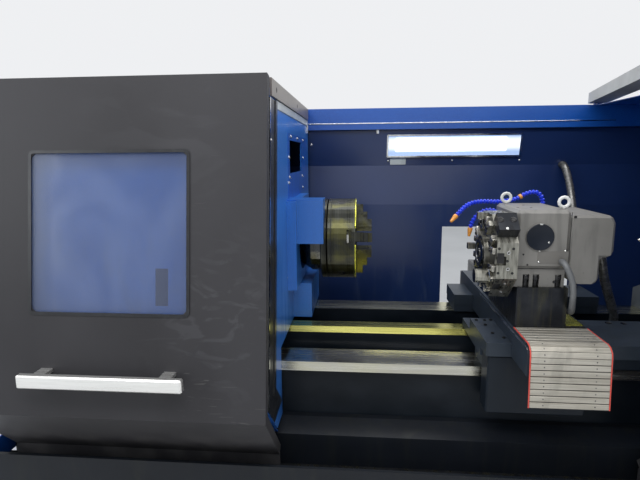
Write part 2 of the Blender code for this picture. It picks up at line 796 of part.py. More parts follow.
def make_side_wall():
    roof_gap = SHEET + SEAT
    inner = offset(COVER_LINE, roof_gap)
    foot_y = height_cross(inner, WALL_FOOT_Z + BED_SEAT_Z - LEDGE_Z)
    bed_gap = RUNNING
    outline = [
        (BEAM_Y - SEAT, GUARD_TOP - roof_gap),
        inner[1],
        inner[2],
        (foot_y, WALL_FOOT_Z + BED_SEAT_Z - LEDGE_Z),
        (FRONT_RAIL_Y[0] - bed_gap, WALL_FOOT_Z + BED_SEAT_Z - LEDGE_Z),
        (FRONT_RAIL_Y[0] - bed_gap, WAY_Z + bed_gap),
        (REAR_WAY_Y[1] + bed_gap, WAY_Z + bed_gap),
        (REAR_WAY_Y[1] + bed_gap, BED_SEAT_Z + bed_gap),
        (BEAM_Y - SEAT, BED_SEAT_Z + bed_gap),
    ]
    wall = prism("headstock_side_wall", outline, "X", (WALL_X, WALL_FACE_X))
    plate_x = (WALL_FACE_X - BOND, WALL_FACE_X + PLATE_THICKNESS)
    fuse(wall, box("collar_plate", plate_x, COLLAR_PLATE_Y, COLLAR_PLATE_Z))
    hood_x = (WALL_FACE_X - BOND, WALL_FACE_X + HOOD_LENGTH)
    hood = box("spindle_hood", hood_x, HOOD_Y, HOOD_Z)
    fuse(wall, hood)
    step_x = (WALL_FACE_X - BOND, WALL_FACE_X + STEP_BOX_LENGTH)
    fuse(wall, box("step_box", step_x, STEP_BOX_Y, STEP_BOX_Z))
    through = (WALL_X - OVERRUN, WALL_FACE_X + HOOD_LENGTH + OVERRUN)
    place = (through[0], 0, SPINDLE_HEIGHT)
    cut(wall, cylinder("nose_hole", place, BEARING_CAP_RADIUS + NOSE_CLEARANCE, length_of(through), "X"))
    cut(wall, box("port", (through[0], WALL_FACE_X + OVERRUN), PORT_Y, PORT_Z))
    place = (WALL_FACE_X + PLATE_THICKNESS + SEAT, 0, SPINDLE_HEIGHT)
    cut(wall, cylinder("chuck_clearance", place, CHUCK_RADIUS + NOSE_CLEARANCE, HOOD_LENGTH, "X"))
    return carry(finish(wall, "blue_paint"), "machine")


def make_rear_guard():
    guard = prism("rear_guard", band(REAR_LINE, 0, SHEET), "X", BODY_X)
    through = (BASE_REAR_Y - OVERRUN, LAMP_PANEL_Y + OVERRUN)
    cut(guard, box("rear_opening", REAR_OPENING_X, through, REAR_OPENING_Z))
    place = (PIVOT_X, PIVOT_Y, GUARD_TOP - BOND)
    boss = cylinder("pivot_boss", place, PIVOT_RADIUS * STEM_SHARE, PIVOT_HEIGHT + BOND)
    fuse(guard, boss)
    return carry(finish(guard, "blue_paint"), "machine")


def make_lamp():
    panel = REAR_LINE[3:5]
    run = Vector(panel[1]) - Vector(panel[0])
    drop = (panel[0][1] - LAMP_TOP) / -run.y
    span = LAMP_HEIGHT / -run.y
    ends = [tuple(Vector(panel[0]) + run * share) for share in (drop, drop + span)]
    lens = prism("lamp_lens", band(ends, -SEAT, -SEAT - LAMP_THICKNESS), "X", LAMP_X)
    return carry(finish(lens, "lamp_lens"), "machine")


# Sliding doors
def make_door(side, mirror):
    left, right = OPENING_X
    x = (left - LEFT_DOOR_WIDTH, left) if mirror > 0 else (right, right + RIGHT_DOOR_WIDTH)
    body(side + "_door", (centre(x), DOOR_TOP_Y, SKIRT_Z), "machine")
    panel = prism(side + "_door_panel", band(DOOR_LINE, 0, DOOR_DEPTH), "X", x)
    hollow_line = offset(DOOR_LINE, DOOR_SHEET)
    deep = offset(DOOR_LINE, DOOR_DEPTH + OVERRUN)
    top = GUARD_TOP - DOOR_SHEET
    hollow = [(height_cross(hollow_line, top), top), hollow_line[1]]
    hollow += [(height_cross(hollow_line, SKIRT_Z + DOOR_DEPTH), SKIRT_Z + DOOR_DEPTH)]
    hollow += [(height_cross(deep, SKIRT_Z + DOOR_DEPTH) + OVERRUN, SKIRT_Z + DOOR_DEPTH)]
    hollow += [deep[1], (height_cross(deep, top), top)]
    cut(panel, prism(side + "_door_hollow", hollow, "X", inset(x, DOOR_SHEET)))
    lip_y = (SKIRT_Y, SKIRT_Y + LIP_THICKNESS)
    fuse(panel, box(side + "_door_lip", x, lip_y, (SKIRT_Z - LIP_HEIGHT, SKIRT_Z + BOND)))
    near = WINDOW_FROM_HANDLE_SIDE
    if mirror > 0:
        window_x = (x[1] - near - WINDOW_WIDTH, x[1] - near)
    else:
        window_x = (x[0] + near, x[0] + near + WINDOW_WIDTH)
    window = rounded(window_x, (WINDOW_BOTTOM, WINDOW_TOP), WINDOW_CORNER)
    cut(panel, prism(side + "_window_hole", window, "Y", (CREASE_Y - OVERRUN, DOOR_TOP_Y)))
    finish(carry(panel, side + "_door"), "door_paint")
    low = WINDOW_BOTTOM - WINDOW_LAP
    high = WINDOW_TOP + WINDOW_LAP
    pane_line = [(height_cross(DOOR_LINE, z), z) for z in (high, low)]
    near_face = DOOR_SHEET + SEAT
    pane_outline = band(pane_line, near_face, near_face + PANE)
    pane = prism(side + "_door_window", pane_outline, "X", inset(window_x, -WINDOW_LAP))
    finish(carry(pane, side + "_door"), "pane")
    make_door_handle(side, centre(window_x))


def make_door_handle(side, middle):
    face = height_cross(DOOR_LINE, HANDLE_Z)
    front = face - HANDLE_STANDOFF - HANDLE_THICKNESS
    x = (middle - HANDLE_LENGTH / 2, middle + HANDLE_LENGTH / 2)
    z = (HANDLE_Z - HANDLE_HEIGHT / 2, HANDLE_Z + HANDLE_HEIGHT / 2)
    handle = bevel(box(side + "_door_handle", x, (front, front + HANDLE_THICKNESS), z), HANDLE_BEVEL)
    post_top = HANDLE_Z + HANDLE_HEIGHT / 2 - HANDLE_BEVEL
    post_z = (post_top - POST_THICKNESS, post_top)
    back = [(height_cross(DOOR_LINE, level) - SEAT, level) for level in post_z]
    root = front + HANDLE_THICKNESS - BOND
    outline = [(root, post_z[0]), back[0], back[1], (root, post_z[1])]
    for i, post_x in enumerate((x[0] + POST_INSET, x[1] - POST_INSET)):
        span = (post_x - POST_WIDTH / 2, post_x + POST_WIDTH / 2)
        fuse(handle, prism(f"{side}_post_{i}", outline, "X", span))
    finish(carry(handle, side + "_door"), "handle_metal")


# Headstock, spindle drive
def make_headstock():
    z = (WAY_Z + SEAT, HEADSTOCK_TOP)
    casting = bevel(box("headstock_casting", HEADSTOCK_X, HEADSTOCK_Y, z), HEADSTOCK_BEVEL)
    cap_x = HEADSTOCK_X[1] - BOND
    place = (cap_x, 0, SPINDLE_HEIGHT)
    fuse(casting, cylinder("bearing_cap", place, BEARING_CAP_RADIUS, BEARING_CAP_LENGTH + BOND, "X"))
    start = HEADSTOCK_X[0] - OVERRUN
    reach = HEADSTOCK_X[1] + BEARING_CAP_LENGTH + OVERRUN - start
    place = (start, 0, SPINDLE_HEIGHT)
    cut(casting, cylinder("spindle_bearing_bore", place, clear_of(SPINDLE_RADIUS), reach, "X"))
    return carry(finish(casting, "casting"), "machine")


def make_spindle():
    axis = (0, 0, SPINDLE_HEIGHT)
    body("spindle", axis, "machine")
    nose_back = NOSE_FACE_X - NOSE_LENGTH
    cap_face = HEADSTOCK_X[1] + BEARING_CAP_LENGTH + RUNNING
    profile = [
        (SPINDLE_BORE, NOSE_FACE_X),
        (NOSE_RADIUS, NOSE_FACE_X),
        (NOSE_RADIUS, max(nose_back, cap_face)),
        (SPINDLE_RADIUS, cap_face),
        (SPINDLE_RADIUS, HEADSTOCK_X[0] - RUNNING),
        (SPINDLE_TAIL_RADIUS - RUNNING, HEADSTOCK_X[0] - RUNNING),
        (SPINDLE_TAIL_RADIUS - RUNNING, SPINDLE_TAIL_X),
        (SPINDLE_BORE, SPINDLE_TAIL_X),
    ]
    shaft = turned("spindle_shaft", profile, axis, ring=True)
    finish(carry(shaft, "spindle"), "black_steel")
    pulley_bore = SPINDLE_TAIL_RADIUS - RUNNING + SEAT * 2
    pulley = [
        (pulley_bore, PULLEY_X + PULLEY_WIDTH),
        (PULLEY_RADIUS, PULLEY_X + PULLEY_WIDTH),
        (PULLEY_RADIUS, PULLEY_X),
        (pulley_bore, PULLEY_X),
    ]
    finish(carry(turned("spindle_pulley", pulley, axis, ring=True), "spindle"), "casting")
    make_chuck(axis)


def make_chuck(axis):
    spigot_x = CHUCK_FACE_X - JAW_SLOT_DEPTH - SCROLL_THICKNESS - PINION_RADIUS * 2 - RUNNING * 2
    spigot_radius = SCROLL_POCKET_RADIUS - SEAT
    groove_x = BACKPLATE_BACK_X + BACKPLATE_LENGTH - BACKPLATE_GROOVE
    plate = [
        (CHUCK_BORE, spigot_x),
        (spigot_radius, spigot_x),
        (spigot_radius, groove_x),
        (CHUCK_RADIUS - BACKPLATE_GROOVE, groove_x),
        (CHUCK_RADIUS, groove_x - BACKPLATE_GROOVE),
        (CHUCK_RADIUS, BACKPLATE_BACK_X + BACKPLATE_GROOVE),
        (CHUCK_RADIUS - BACKPLATE_GROOVE, BACKPLATE_BACK_X),
        (CHUCK_BORE, BACKPLATE_BACK_X),
    ]
    sides = ROUND_SIDES * 2
    finish(carry(turned("chuck_backplate", plate, axis, sides=sides, ring=True), "spindle"), "ground_steel")
    pocket_x = CHUCK_FACE_X - JAW_SLOT_DEPTH
    rim = [
        (CHUCK_BORE, CHUCK_FACE_X),
        (CHUCK_RADIUS - BACKPLATE_GROOVE, CHUCK_FACE_X),
        (CHUCK_RADIUS, CHUCK_FACE_X - BACKPLATE_GROOVE),
        (CHUCK_RADIUS, CHUCK_BACK_X),
        (SCROLL_POCKET_RADIUS, CHUCK_BACK_X),
        (SCROLL_POCKET_RADIUS, pocket_x),
        (CHUCK_BORE, pocket_x),
    ]
    chuck = turned("chuck_body", rim, axis, sides=sides, ring=True)
    for i in range(JAW_COUNT):
        angle = jaw_angle(i)
        slot_x = (pocket_x - OVERRUN, CHUCK_FACE_X + OVERRUN)
        across = JAW_WIDTH / 2 + SEAT
        cut(chuck, radial_box(f"jaw_slot_{i}", angle, (0, CHUCK_RADIUS + OVERRUN), across, slot_x))
        key_x = (CHUCK_FACE_X - JAW_SLOT_DEPTH - OVERRUN, pocket_x + JAW_KEY_HEIGHT + SEAT)
        across = JAW_KEY_WIDTH / 2 + SEAT
        key_reach = (CHUCK_BORE / 2, CHUCK_RADIUS + OVERRUN)
        cut(chuck, radial_box(f"jaw_key_slot_{i}", angle, key_reach, across, key_x))
    for i in range(JAW_COUNT):
        reach = (SCROLL_POCKET_RADIUS - OVERRUN, CHUCK_RADIUS + OVERRUN)
        radius = clear_of(PINION_RADIUS)
        cut(chuck, radial_cylinder(f"pinion_hole_{i}", pinion_angle(i), reach, radius, pinion_x()))
    finish(carry(chuck, "spindle"), "ground_steel")
    make_scroll(axis, pocket_x)
    for i in range(JAW_COUNT):
        make_jaw(i)
        make_pinion(i)


def jaw_angle(i):
    """Turn about +X from -Y towards +Z, for the jaw that faces the operator and the next ones."""
    return math.pi - JAW_TILT + math.tau * i / JAW_COUNT


def pinion_angle(i):
    return jaw_angle(i) + math.pi / JAW_COUNT


def pinion_x():
    return CHUCK_FACE_X - JAW_SLOT_DEPTH - SCROLL_THICKNESS - RUNNING - PINION_RADIUS


def radial_box(name, angle, reach, half_width, x):
    """A bar that runs outward from the spindle axis, built along Y and turned about X."""
    bar = box(name, x, reach, (-half_width, half_width))
    bar.data.transform(Matrix.Translation(bar.location))
    bar.location = (0, 0, SPINDLE_HEIGHT)
    bar.rotation_euler = (angle, 0, 0)
    return bar


def radial_cylinder(name, angle, reach, radius, x, sides=ROUND_SIDES):
    rod = cylinder(name, (0, 0, 0), radius, length_of(reach), "Z", sides)
    turn = Matrix.Rotation(-math.pi / 2, 4, "X")
    rod.data.transform(Matrix.Translation((x, reach[0], 0)) @ turn)
    rod.location = (0, 0, SPINDLE_HEIGHT)
    rod.rotation_euler = (angle, 0, 0)
    return rod


def make_scroll(axis, pocket_x):
    body("scroll", axis, "spindle")
    front = pocket_x - SEAT * 2
    profile = [
        (SCROLL_RADIUS[0], front),
        (SCROLL_RADIUS[1], front),
        (SCROLL_RADIUS[1], front - SCROLL_THICKNESS),
        (SCROLL_RADIUS[0], front - SCROLL_THICKNESS),
    ]
    scroll = turned("scroll_plate", profile, axis, ring=True)
    finish(carry(scroll, "scroll"), "bright_steel")


def make_jaw(i):
    angle = jaw_angle(i)
    name = f"chuck_jaw_{i + 1}"
    body(name, (0, 0, SPINDLE_HEIGHT), "spindle")
    bottom = CHUCK_FACE_X - JAW_SLOT_DEPTH + SEAT
    reach = (JAW_INNER, JAW_OUTER)
    jaw = radial_box(name, angle, reach, JAW_WIDTH / 2, (bottom, CHUCK_FACE_X + JAW_STEPS[0][1]))
    outer = JAW_STEPS[0][0]
    low = CHUCK_FACE_X + JAW_STEPS[0][1] - BOND
    for step, (radius, height) in enumerate(JAW_STEPS[1:]):
        part_reach = (JAW_INNER, outer)
        part_x = (low, CHUCK_FACE_X + height)
        fuse(jaw, radial_box(f"{name}_step_{step}", angle, part_reach, JAW_WIDTH / 2, part_x))
        outer = radius
        low = CHUCK_FACE_X + height - BOND
    key_x = (bottom, bottom + JAW_KEY_HEIGHT - SEAT * 2)
    fuse(jaw, radial_box(name + "_key", angle, (JAW_INNER + BOND, JAW_OUTER - BOND), JAW_KEY_WIDTH / 2, key_x))
    finish(carry(jaw, name), "ground_steel")


def make_pinion(i):
    angle = pinion_angle(i)
    name = f"key_pinion_{i + 1}"
    body(name, (pinion_x(), 0, SPINDLE_HEIGHT), "spindle")
    outer = CHUCK_RADIUS - BACKPLATE_GROOVE
    pinion = radial_cylinder(name, angle, (PINION_INNER, outer), PINION_RADIUS, pinion_x(), SMALL_SIDES)
    half = KEY_SOCKET / 2
    socket_x = (pinion_x() - half, pinion_x() + half)
    cut(pinion, radial_box(name + "_socket", angle, (outer - KEY_SOCKET_DEPTH, outer + OVERRUN), half, socket_x))
    finish(carry(pinion, name), "black_steel")


def belt_outline(extra):
    """Outline of a belt round the two pulleys, as (Y, Z), at a distance from their rims."""
    big = Vector((0, SPINDLE_HEIGHT))
    small = Vector((MOTOR_Y, MOTOR_Z))
    gap = small - big
    lean = math.acos((PULLEY_RADIUS - MOTOR_PULLEY_RADIUS) / gap.length)
    heading = math.atan2(gap.y, gap.x)
    outline = []
    for middle, radius, start, end in (
        (big, PULLEY_RADIUS, heading + lean, heading + math.tau - lean),
        (small, MOTOR_PULLEY_RADIUS, heading - lean, heading + lean),
    ):
        steps = SMALL_SIDES
        reach = (radius + SEAT) / math.cos((end - start) / steps / 2) + extra
        for step in range(steps + 1):
            angle = start + (end - start) * step / steps
            outline.append((middle.x + reach * math.cos(angle), middle.y + reach * math.sin(angle)))
    return outline


def make_drive():
    x = inset((PULLEY_X, PULLEY_X + PULLEY_WIDTH), OVERRUN)
    belt = prism("drive_belt", belt_outline(BELT_THICKNESS), "X", x)
    cut(belt, prism("belt_inside", belt_outline(0), "X", inset(x, -OVERRUN)))
    finish(carry(belt, "machine"), "belt_rubber")
    front = PULLEY_X + PULLEY_WIDTH + MOTOR_TO_PULLEY
    motor = cylinder("main_motor", (front, MOTOR_Y, MOTOR_Z), MOTOR_RADIUS, MOTOR_LENGTH, "X")
    foot_y = (MOTOR_Y - MOTOR_FOOT_HALF, MOTOR_Y + MOTOR_FOOT_HALF)
    foot_x = inset((front, front + MOTOR_LENGTH), MOTOR_TO_PULLEY)
    fuse(motor, box("motor_foot", foot_x, foot_y, (BED_SEAT_Z + SEAT, MOTOR_Z - MOTOR_RADIUS / 2)))
    shaft_start = (front - SHEET, MOTOR_Y, MOTOR_Z)
    cut(motor, cylinder("shaft_hole", shaft_start, clear_of(MOTOR_SHAFT_RADIUS), MOTOR_LENGTH / 2, "X"))
    finish(carry(motor, "machine"), "dark_paint")
    place = (PULLEY_X, MOTOR_Y, MOTOR_Z)
    body("motor_pulley", place, "machine")
    rim = front - MOTOR_TO_PULLEY
    tip = front - SHEET + MOTOR_LENGTH / 2 - RUNNING
    profile = [
        (0, tip - PULLEY_X),
        (MOTOR_SHAFT_RADIUS, tip - PULLEY_X),
        (MOTOR_SHAFT_RADIUS, rim - PULLEY_X),
        (MOTOR_PULLEY_RADIUS, rim - PULLEY_X),
        (MOTOR_PULLEY_RADIUS, 0),
        (0, 0),
    ]
    finish(carry(turned("motor_pulley", profile, place), "motor_pulley"), "casting")


# Saddle, with its ball screws
def make_screw(name, body_name, axis, place, radius, start, end):
    body(body_name, place, "machine" if axis == "X" else "saddle")
    at = list(place)
    at["XYZ".index(axis)] = start
    screw = cylinder(name, at, radius, end - start, axis, SMALL_SIDES)
    return finish(carry(screw, body_name), "bright_steel")


def make_z_drive():
    place = (BED_RIGHT, Z_SCREW_Y, Z_SCREW_Z)
    start = WALL_FACE_X + OVERRUN
    make_screw("z_ball_screw", "z_screw", "X", place, Z_SCREW_RADIUS, start, BED_RIGHT + OVERRUN * 2)
    x = (BED_RIGHT + SEAT, BED_RIGHT + Z_MOTOR_LENGTH)
    y = (Z_SCREW_Y - Z_MOTOR_HALF, Z_SCREW_Y + Z_MOTOR_HALF)
    z = (Z_SCREW_Z - Z_MOTOR_HALF, Z_SCREW_Z + Z_MOTOR_HALF)
    motor = bevel(box("z_servo_motor", x, y, z), APRON_BEVEL)
    hole_at = (BED_RIGHT - OVERRUN, Z_SCREW_Y, Z_SCREW_Z)
    radius = clear_of(Z_SCREW_RADIUS, SMALL_SIDES)
    cut(motor, cylinder("z_motor_bore", hole_at, radius, OVERRUN * 4, "X", SMALL_SIDES))
    finish(carry(motor, "machine"), "black_steel")


def nose_outline():
    """Section of the cross member along Y and Z, with its rounded front."""
    front, back = CROSS_Y
    low_front = APRON_Y[1] + SEAT + BOND
    low = APRON_TOP + SEAT + BOND
    outline = [(back, CROSS_TOP), (back, CROSS_BOTTOM), (low_front, CROSS_BOTTOM), (low_front, low), (front, low)]
    steps = 4
    for step in range(steps + 1):
        angle = math.pi - math.pi / 2 * step / steps
        outline.append((front + NOSE_ROUND + NOSE_ROUND * math.cos(angle),
                        CROSS_TOP - NOSE_ROUND + NOSE_ROUND * math.sin(angle)))
    return outline


def make_saddle():
    body("saddle", (centre(SADDLE_X), 0, WAY_Z), "machine")
    plate_low = APRON_TOP + SEAT
    saddle = prism("saddle_casting", nose_outline(), "X", CROSS_X)
    foot_x = inset(SADDLE_X, BOND)
    foot_z = (WAY_Z + SEAT, plate_low + BOND)
    wings = (("front", FRONT_WING_Y, FRONT_FOOT_BACK), ("rear", REAR_WING_Y, REAR_WING_Y[1]))
    for name, wing_y, foot_back in wings:
        fuse(saddle, box(name + "_wing", SADDLE_X, wing_y, (plate_low, WING_TOP)))
        foot_y = (max(wing_y[0] + BOND, APRON_Y[1] + SEAT), foot_back - BOND)
        fuse(saddle, box(name + "_foot", foot_x, foot_y, foot_z))
    outer_x = inset(CROSS_X, BOND)
    inner_x = inset(CROSS_X, CROSS_WAY_WIDTH)
    for i, x in enumerate(((outer_x[0], inner_x[0]), (inner_x[1], outer_x[1]))):
        y = inset(CROSS_Y, NOSE_ROUND + BOND)
        z = (CROSS_TOP - BOND, CROSS_TOP + CROSS_WAY_HEIGHT)
        fuse(saddle, box(f"cross_way_{i}", x, y, z))
    shoe_z = (FRONT_RAIL_Z + SEAT, WAY_Z + BOND)
    fuse(saddle, box("rail_shoe", inset(SADDLE_X, WING_CHAMFER), GIB_DROP_Y, shoe_z))
    nut_y = (Z_SCREW_Y - NUT_Y_HALF, Z_SCREW_Y + NUT_Y_HALF)
    fuse(saddle, box("z_nut", NUT_X, nut_y, (Z_SCREW_Z - NUT_Y_HALF, WAY_Z + BOND)))
    place = (NUT_X[0] - OVERRUN, Z_SCREW_Y, Z_SCREW_Z)
    radius = clear_of(Z_SCREW_RADIUS, SMALL_SIDES)
    cut(saddle, cylinder("z_nut_bore", place, radius, length_of(NUT_X) + OVERRUN * 2, "X", SMALL_SIDES))
    half = X_CHANNEL_WIDTH / 2
    channel_y = (CROSS_Y[0] + NOSE_ROUND * 2, CROSS_Y[1] + OVERRUN)
    channel_z = (CROSS_TOP - X_CHANNEL_DEPTH, CROSS_TOP + OVERRUN)
    cut(saddle, box("x_channel", (X_SCREW_X - half, X_SCREW_X + half), channel_y, channel_z))
    finish(carry(saddle, "saddle"), "casting")
    apron_z = (APRON_BOTTOM, APRON_TOP)
    apron = bevel(box("apron_cover", APRON_X, APRON_Y, apron_z), APRON_BEVEL)
    finish(carry(apron, "saddle"), "dark_paint")
    make_x_drive(channel_y)


def make_x_drive(channel_y):
    place = (X_SCREW_X, CROSS_Y[1], X_SCREW_Z)
    start = channel_y[0] + OVERRUN
    make_screw("x_ball_screw", "x_screw", "Y", place, X_SCREW_RADIUS, start, CROSS_Y[1] + OVERRUN * 2)
    x = (X_SCREW_X - X_MOTOR_HALF, X_SCREW_X + X_MOTOR_HALF)
    y = (CROSS_Y[1] + SEAT, CROSS_Y[1] + X_MOTOR_LENGTH)
    z = (X_SCREW_Z - X_MOTOR_HALF, X_SCREW_Z + X_MOTOR_HALF)
    motor = bevel(box("x_servo_motor", x, y, z), APRON_BEVEL)
    hole_at = (X_SCREW_X, CROSS_Y[1] - OVERRUN, X_SCREW_Z)
    radius = clear_of(X_SCREW_RADIUS, SMALL_SIDES)
    cut(motor, cylinder("x_motor_bore", hole_at, radius, OVERRUN * 4, "Y", SMALL_SIDES))
    finish(carry(motor, "saddle"), "black_steel")


def curtain_line():
    """The curtain's underside, as (Y, Z), from the turret block over the nose and down."""
    gap = SEAT
    top = CROSS_TOP + CROSS_WAY_HEIGHT + gap
    radius = NOSE_ROUND + CROSS_WAY_HEIGHT + gap
    middle_y = CROSS_Y[0] + NOSE_ROUND
    middle_z = CROSS_TOP - NOSE_ROUND
    line = []
    for i in range(TOP_SLATS):
        line.append((TABLE_Y[0] - SEAT + (middle_y - TABLE_Y[0]) * i / TOP_SLATS, top))
    steps = 3
    for step in range(steps + 1):
        angle = math.pi / 2 + math.pi / 2 * step / steps
        line.append((middle_y + radius * math.cos(angle), middle_z + radius * math.sin(angle)))
    foot = (line[-1][0] - CURTAIN_FLARE, CURTAIN_BOTTOM)
    last = line[-1]
    for i in range(HANG_SLATS):
        share = (i + 1) / HANG_SLATS
        line.append((last[0] + (foot[0] - last[0]) * share, last[1] + (foot[1] - last[1]) * share))
    return line


def make_curtain():
    line = curtain_line()
    outer = offset(line, -CURTAIN_THICKNESS)
    ridged = []
    for first, second in zip(outer, outer[1:]):
        run = (Vector(second) - Vector(first))
        side = Vector((-run.y, run.x)).normalized()
        groove = min(SLAT_GROOVE, run.length / 4)
        ridged.append(tuple(Vector(first) + side * groove))
        ridged.append(tuple(Vector(first) + run.normalized() * groove))
    ridged.append(outer[-1])
    outline = line + list(reversed(ridged))
    finish(carry(prism("slat_curtain", outline, "X", CURTAIN_X), "cross_slide"), "aluminium")


# Cross slide and turret
def make_cross_slide():
    body("cross_slide", (X_SCREW_X, centre(TABLE_Y), CROSS_TOP), "saddle")
    table_low = CROSS_TOP + SEAT
    inner_x = inset(CROSS_X, CROSS_WAY_WIDTH + SEAT)
    table_z = (table_low, CROSS_TOP + TABLE_HEIGHT)
    block = box("turret_block", BLOCK_X, BLOCK_Y, (CROSS_TOP + CROSS_WAY_HEIGHT + SEAT, BLOCK_TOP))
    fuse(block, box("slide_table", inner_x, TABLE_Y, table_z))
    nut_x = (X_SCREW_X - X_NUT_WIDTH / 2, X_SCREW_X + X_NUT_WIDTH / 2)
    nut_y = (centre(BLOCK_Y) - X_NUT_WIDTH, centre(BLOCK_Y) + X_NUT_WIDTH)
    nut_z = (X_SCREW_Z - X_NUT_WIDTH / 2, table_low + BOND)
    fuse(block, box("x_nut", nut_x, nut_y, nut_z))
    place = (X_SCREW_X, nut_y[0] - OVERRUN, X_SCREW_Z)
    radius = clear_of(X_SCREW_RADIUS, SMALL_SIDES)
    cut(block, cylinder("x_nut_bore", place, radius, length_of(nut_y) + OVERRUN * 2, "Y", SMALL_SIDES))
    finish(carry(block, "cross_slide"), "black_steel")
    make_housing()
    make_motor_cover()
    make_disc()
    make_hoses()


def make_housing():
    z = (FLANGE_TOP, HOUSING_TOP)
    housing = bevel(box("turret_housing", HOUSING_X, HOUSING_Y, z), HOUSING_BEVEL)
    fuse(housing, box("clamp_flange", FLANGE_X, FLANGE_Y, (BLOCK_TOP + SEAT, FLANGE_TOP + HOUSING_BEVEL + BOND)))
    for i, share in enumerate(CLAMP_BOLT_SHARES):
        middle = at_share(FLANGE_X, share)
        slot_x = (middle - CLAMP_SLOT_WIDTH / 2, middle + CLAMP_SLOT_WIDTH / 2)
        slot_y = (FLANGE_Y[0] - OVERRUN, FLANGE_Y[0] + CLAMP_SLOT_DEPTH)
        slot_z = (BLOCK_TOP - OVERRUN, BLOCK_TOP + CLAMP_SLOT_HEIGHT)
        cut(housing, box(f"clamp_slot_{i}", slot_x, slot_y, slot_z))
        place = (middle, FLANGE_Y[0] + CLAMP_SLOT_DEPTH / 2, BLOCK_TOP + SEAT)
        bolt_top = CLAMP_SLOT_HEIGHT + BOND
        fuse(housing, cylinder(f"clamp_bolt_{i}", place, CLAMP_BOLT_RADIUS, bolt_top, sides=SMALL_SIDES // 2))
    for i, (x, y) in enumerate(EYE_SPOTS):
        place = (x, y, HOUSING_TOP - BOND)
        fuse(housing, cylinder(f"eye_collar_{i}", place, EYE_COLLAR / 2, EYE_COLLAR, sides=SMALL_SIDES))
        fuse(housing, eye_ring(f"eye_ring_{i}", (x, y, HOUSING_TOP + EYE_COLLAR + EYE_RADIUS - EYE_WIRE)))
    place = (COVER_X, HOUSING_Y[0] - COVER_THICKNESS, COVER_Z)
    fuse(housing, cylinder("round_cover", place, COVER_RADIUS, COVER_THICKNESS + BOND, "Y"))
    finish(carry(housing, "cross_slide"), "grey_paint")


def eye_ring(name, place):
    profile = []
    for step in range(SMALL_SIDES):
        angle = math.pi / 2 - math.tau * step / SMALL_SIDES
        profile.append((EYE_RADIUS + EYE_WIRE * math.cos(angle), EYE_WIRE * math.sin(angle)))
    return turned(name, profile, place, "Y", SMALL_SIDES, ring=True)


def make_motor_cover():
    left = HOUSING_X[1] + SEAT
    outline = [
        (left, MOTOR_COVER_BOTTOM + MOTOR_COVER_CHAMFER / 2),
        (left + MOTOR_COVER_CHAMFER / 2, MOTOR_COVER_BOTTOM),
        (MOTOR_COVER_STEP_X - MOTOR_COVER_CHAMFER / 4, MOTOR_COVER_BOTTOM),
        (MOTOR_COVER_STEP_X, MOTOR_COVER_BOTTOM + MOTOR_COVER_CHAMFER / 4),
        (MOTOR_COVER_STEP_X, MOTOR_COVER_STEP_Z),
        (MOTOR_COVER_RIGHT - MOTOR_COVER_CHAMFER / 4, MOTOR_COVER_STEP_Z),
        (MOTOR_COVER_RIGHT, MOTOR_COVER_STEP_Z + MOTOR_COVER_CHAMFER / 4),
        (MOTOR_COVER_RIGHT, MOTOR_COVER_TOP - MOTOR_COVER_CHAMFER / 2),
        (MOTOR_COVER_RIGHT - MOTOR_COVER_CHAMFER / 4, MOTOR_COVER_TOP),
        (left, MOTOR_COVER_TOP),
    ]
    cover = bevel(prism("turret_motor_cover", outline, "Y", MOTOR_COVER_Y), HOUSING_BEVEL)
    finish(carry(cover, "cross_slide"), "grey_paint")


def make_disc():
    axis = (DISC_X[0], DISC_Y, DISC_Z)
    body("turret_disc", axis, "cross_slide")
    turn = math.pi / STATIONS
    outline = [(DISC_Y + DISC_RADIUS * math.cos(turn + math.tau * i / STATIONS),
                DISC_Z + DISC_RADIUS * math.sin(turn + math.tau * i / STATIONS)) for i in range(STATIONS)]
    disc = prism("turret_disc", outline, "X", DISC_X)
    hub_at = (DISC_X[0] - DISC_HUB_LENGTH, DISC_Y, DISC_Z)
    hub_length = HOUSING_X[0] - SEAT - hub_at[0]
    fuse(disc, cylinder("disc_hub", hub_at, DISC_HUB_RADIUS, hub_length, "X"))
    flat = DISC_RADIUS * math.cos(turn)
    pocket_x = (DISC_X[0] - OVERRUN, DISC_X[0] + POCKET_LENGTH * STEM_SHARE)
    for i in range(STATIONS):
        angle = math.tau * i / STATIONS
        reach = (flat - POCKET_DEPTH * 2, flat + OVERRUN)
        cut(disc, disc_box(f"pocket_{i}", angle, reach, POCKET_WIDTH / 2, pocket_x))
    make_tools(disc, flat)
    finish(carry(disc, "turret_disc"), "black_steel")


def disc_box(name, angle, reach, half_width, x):
    bar = box(name, x, reach, (-half_width, half_width))
    bar.data.transform(Matrix.Translation(bar.location))
    bar.location = (0, DISC_Y, DISC_Z)
    bar.rotation_euler = (angle, 0, 0)
    return bar


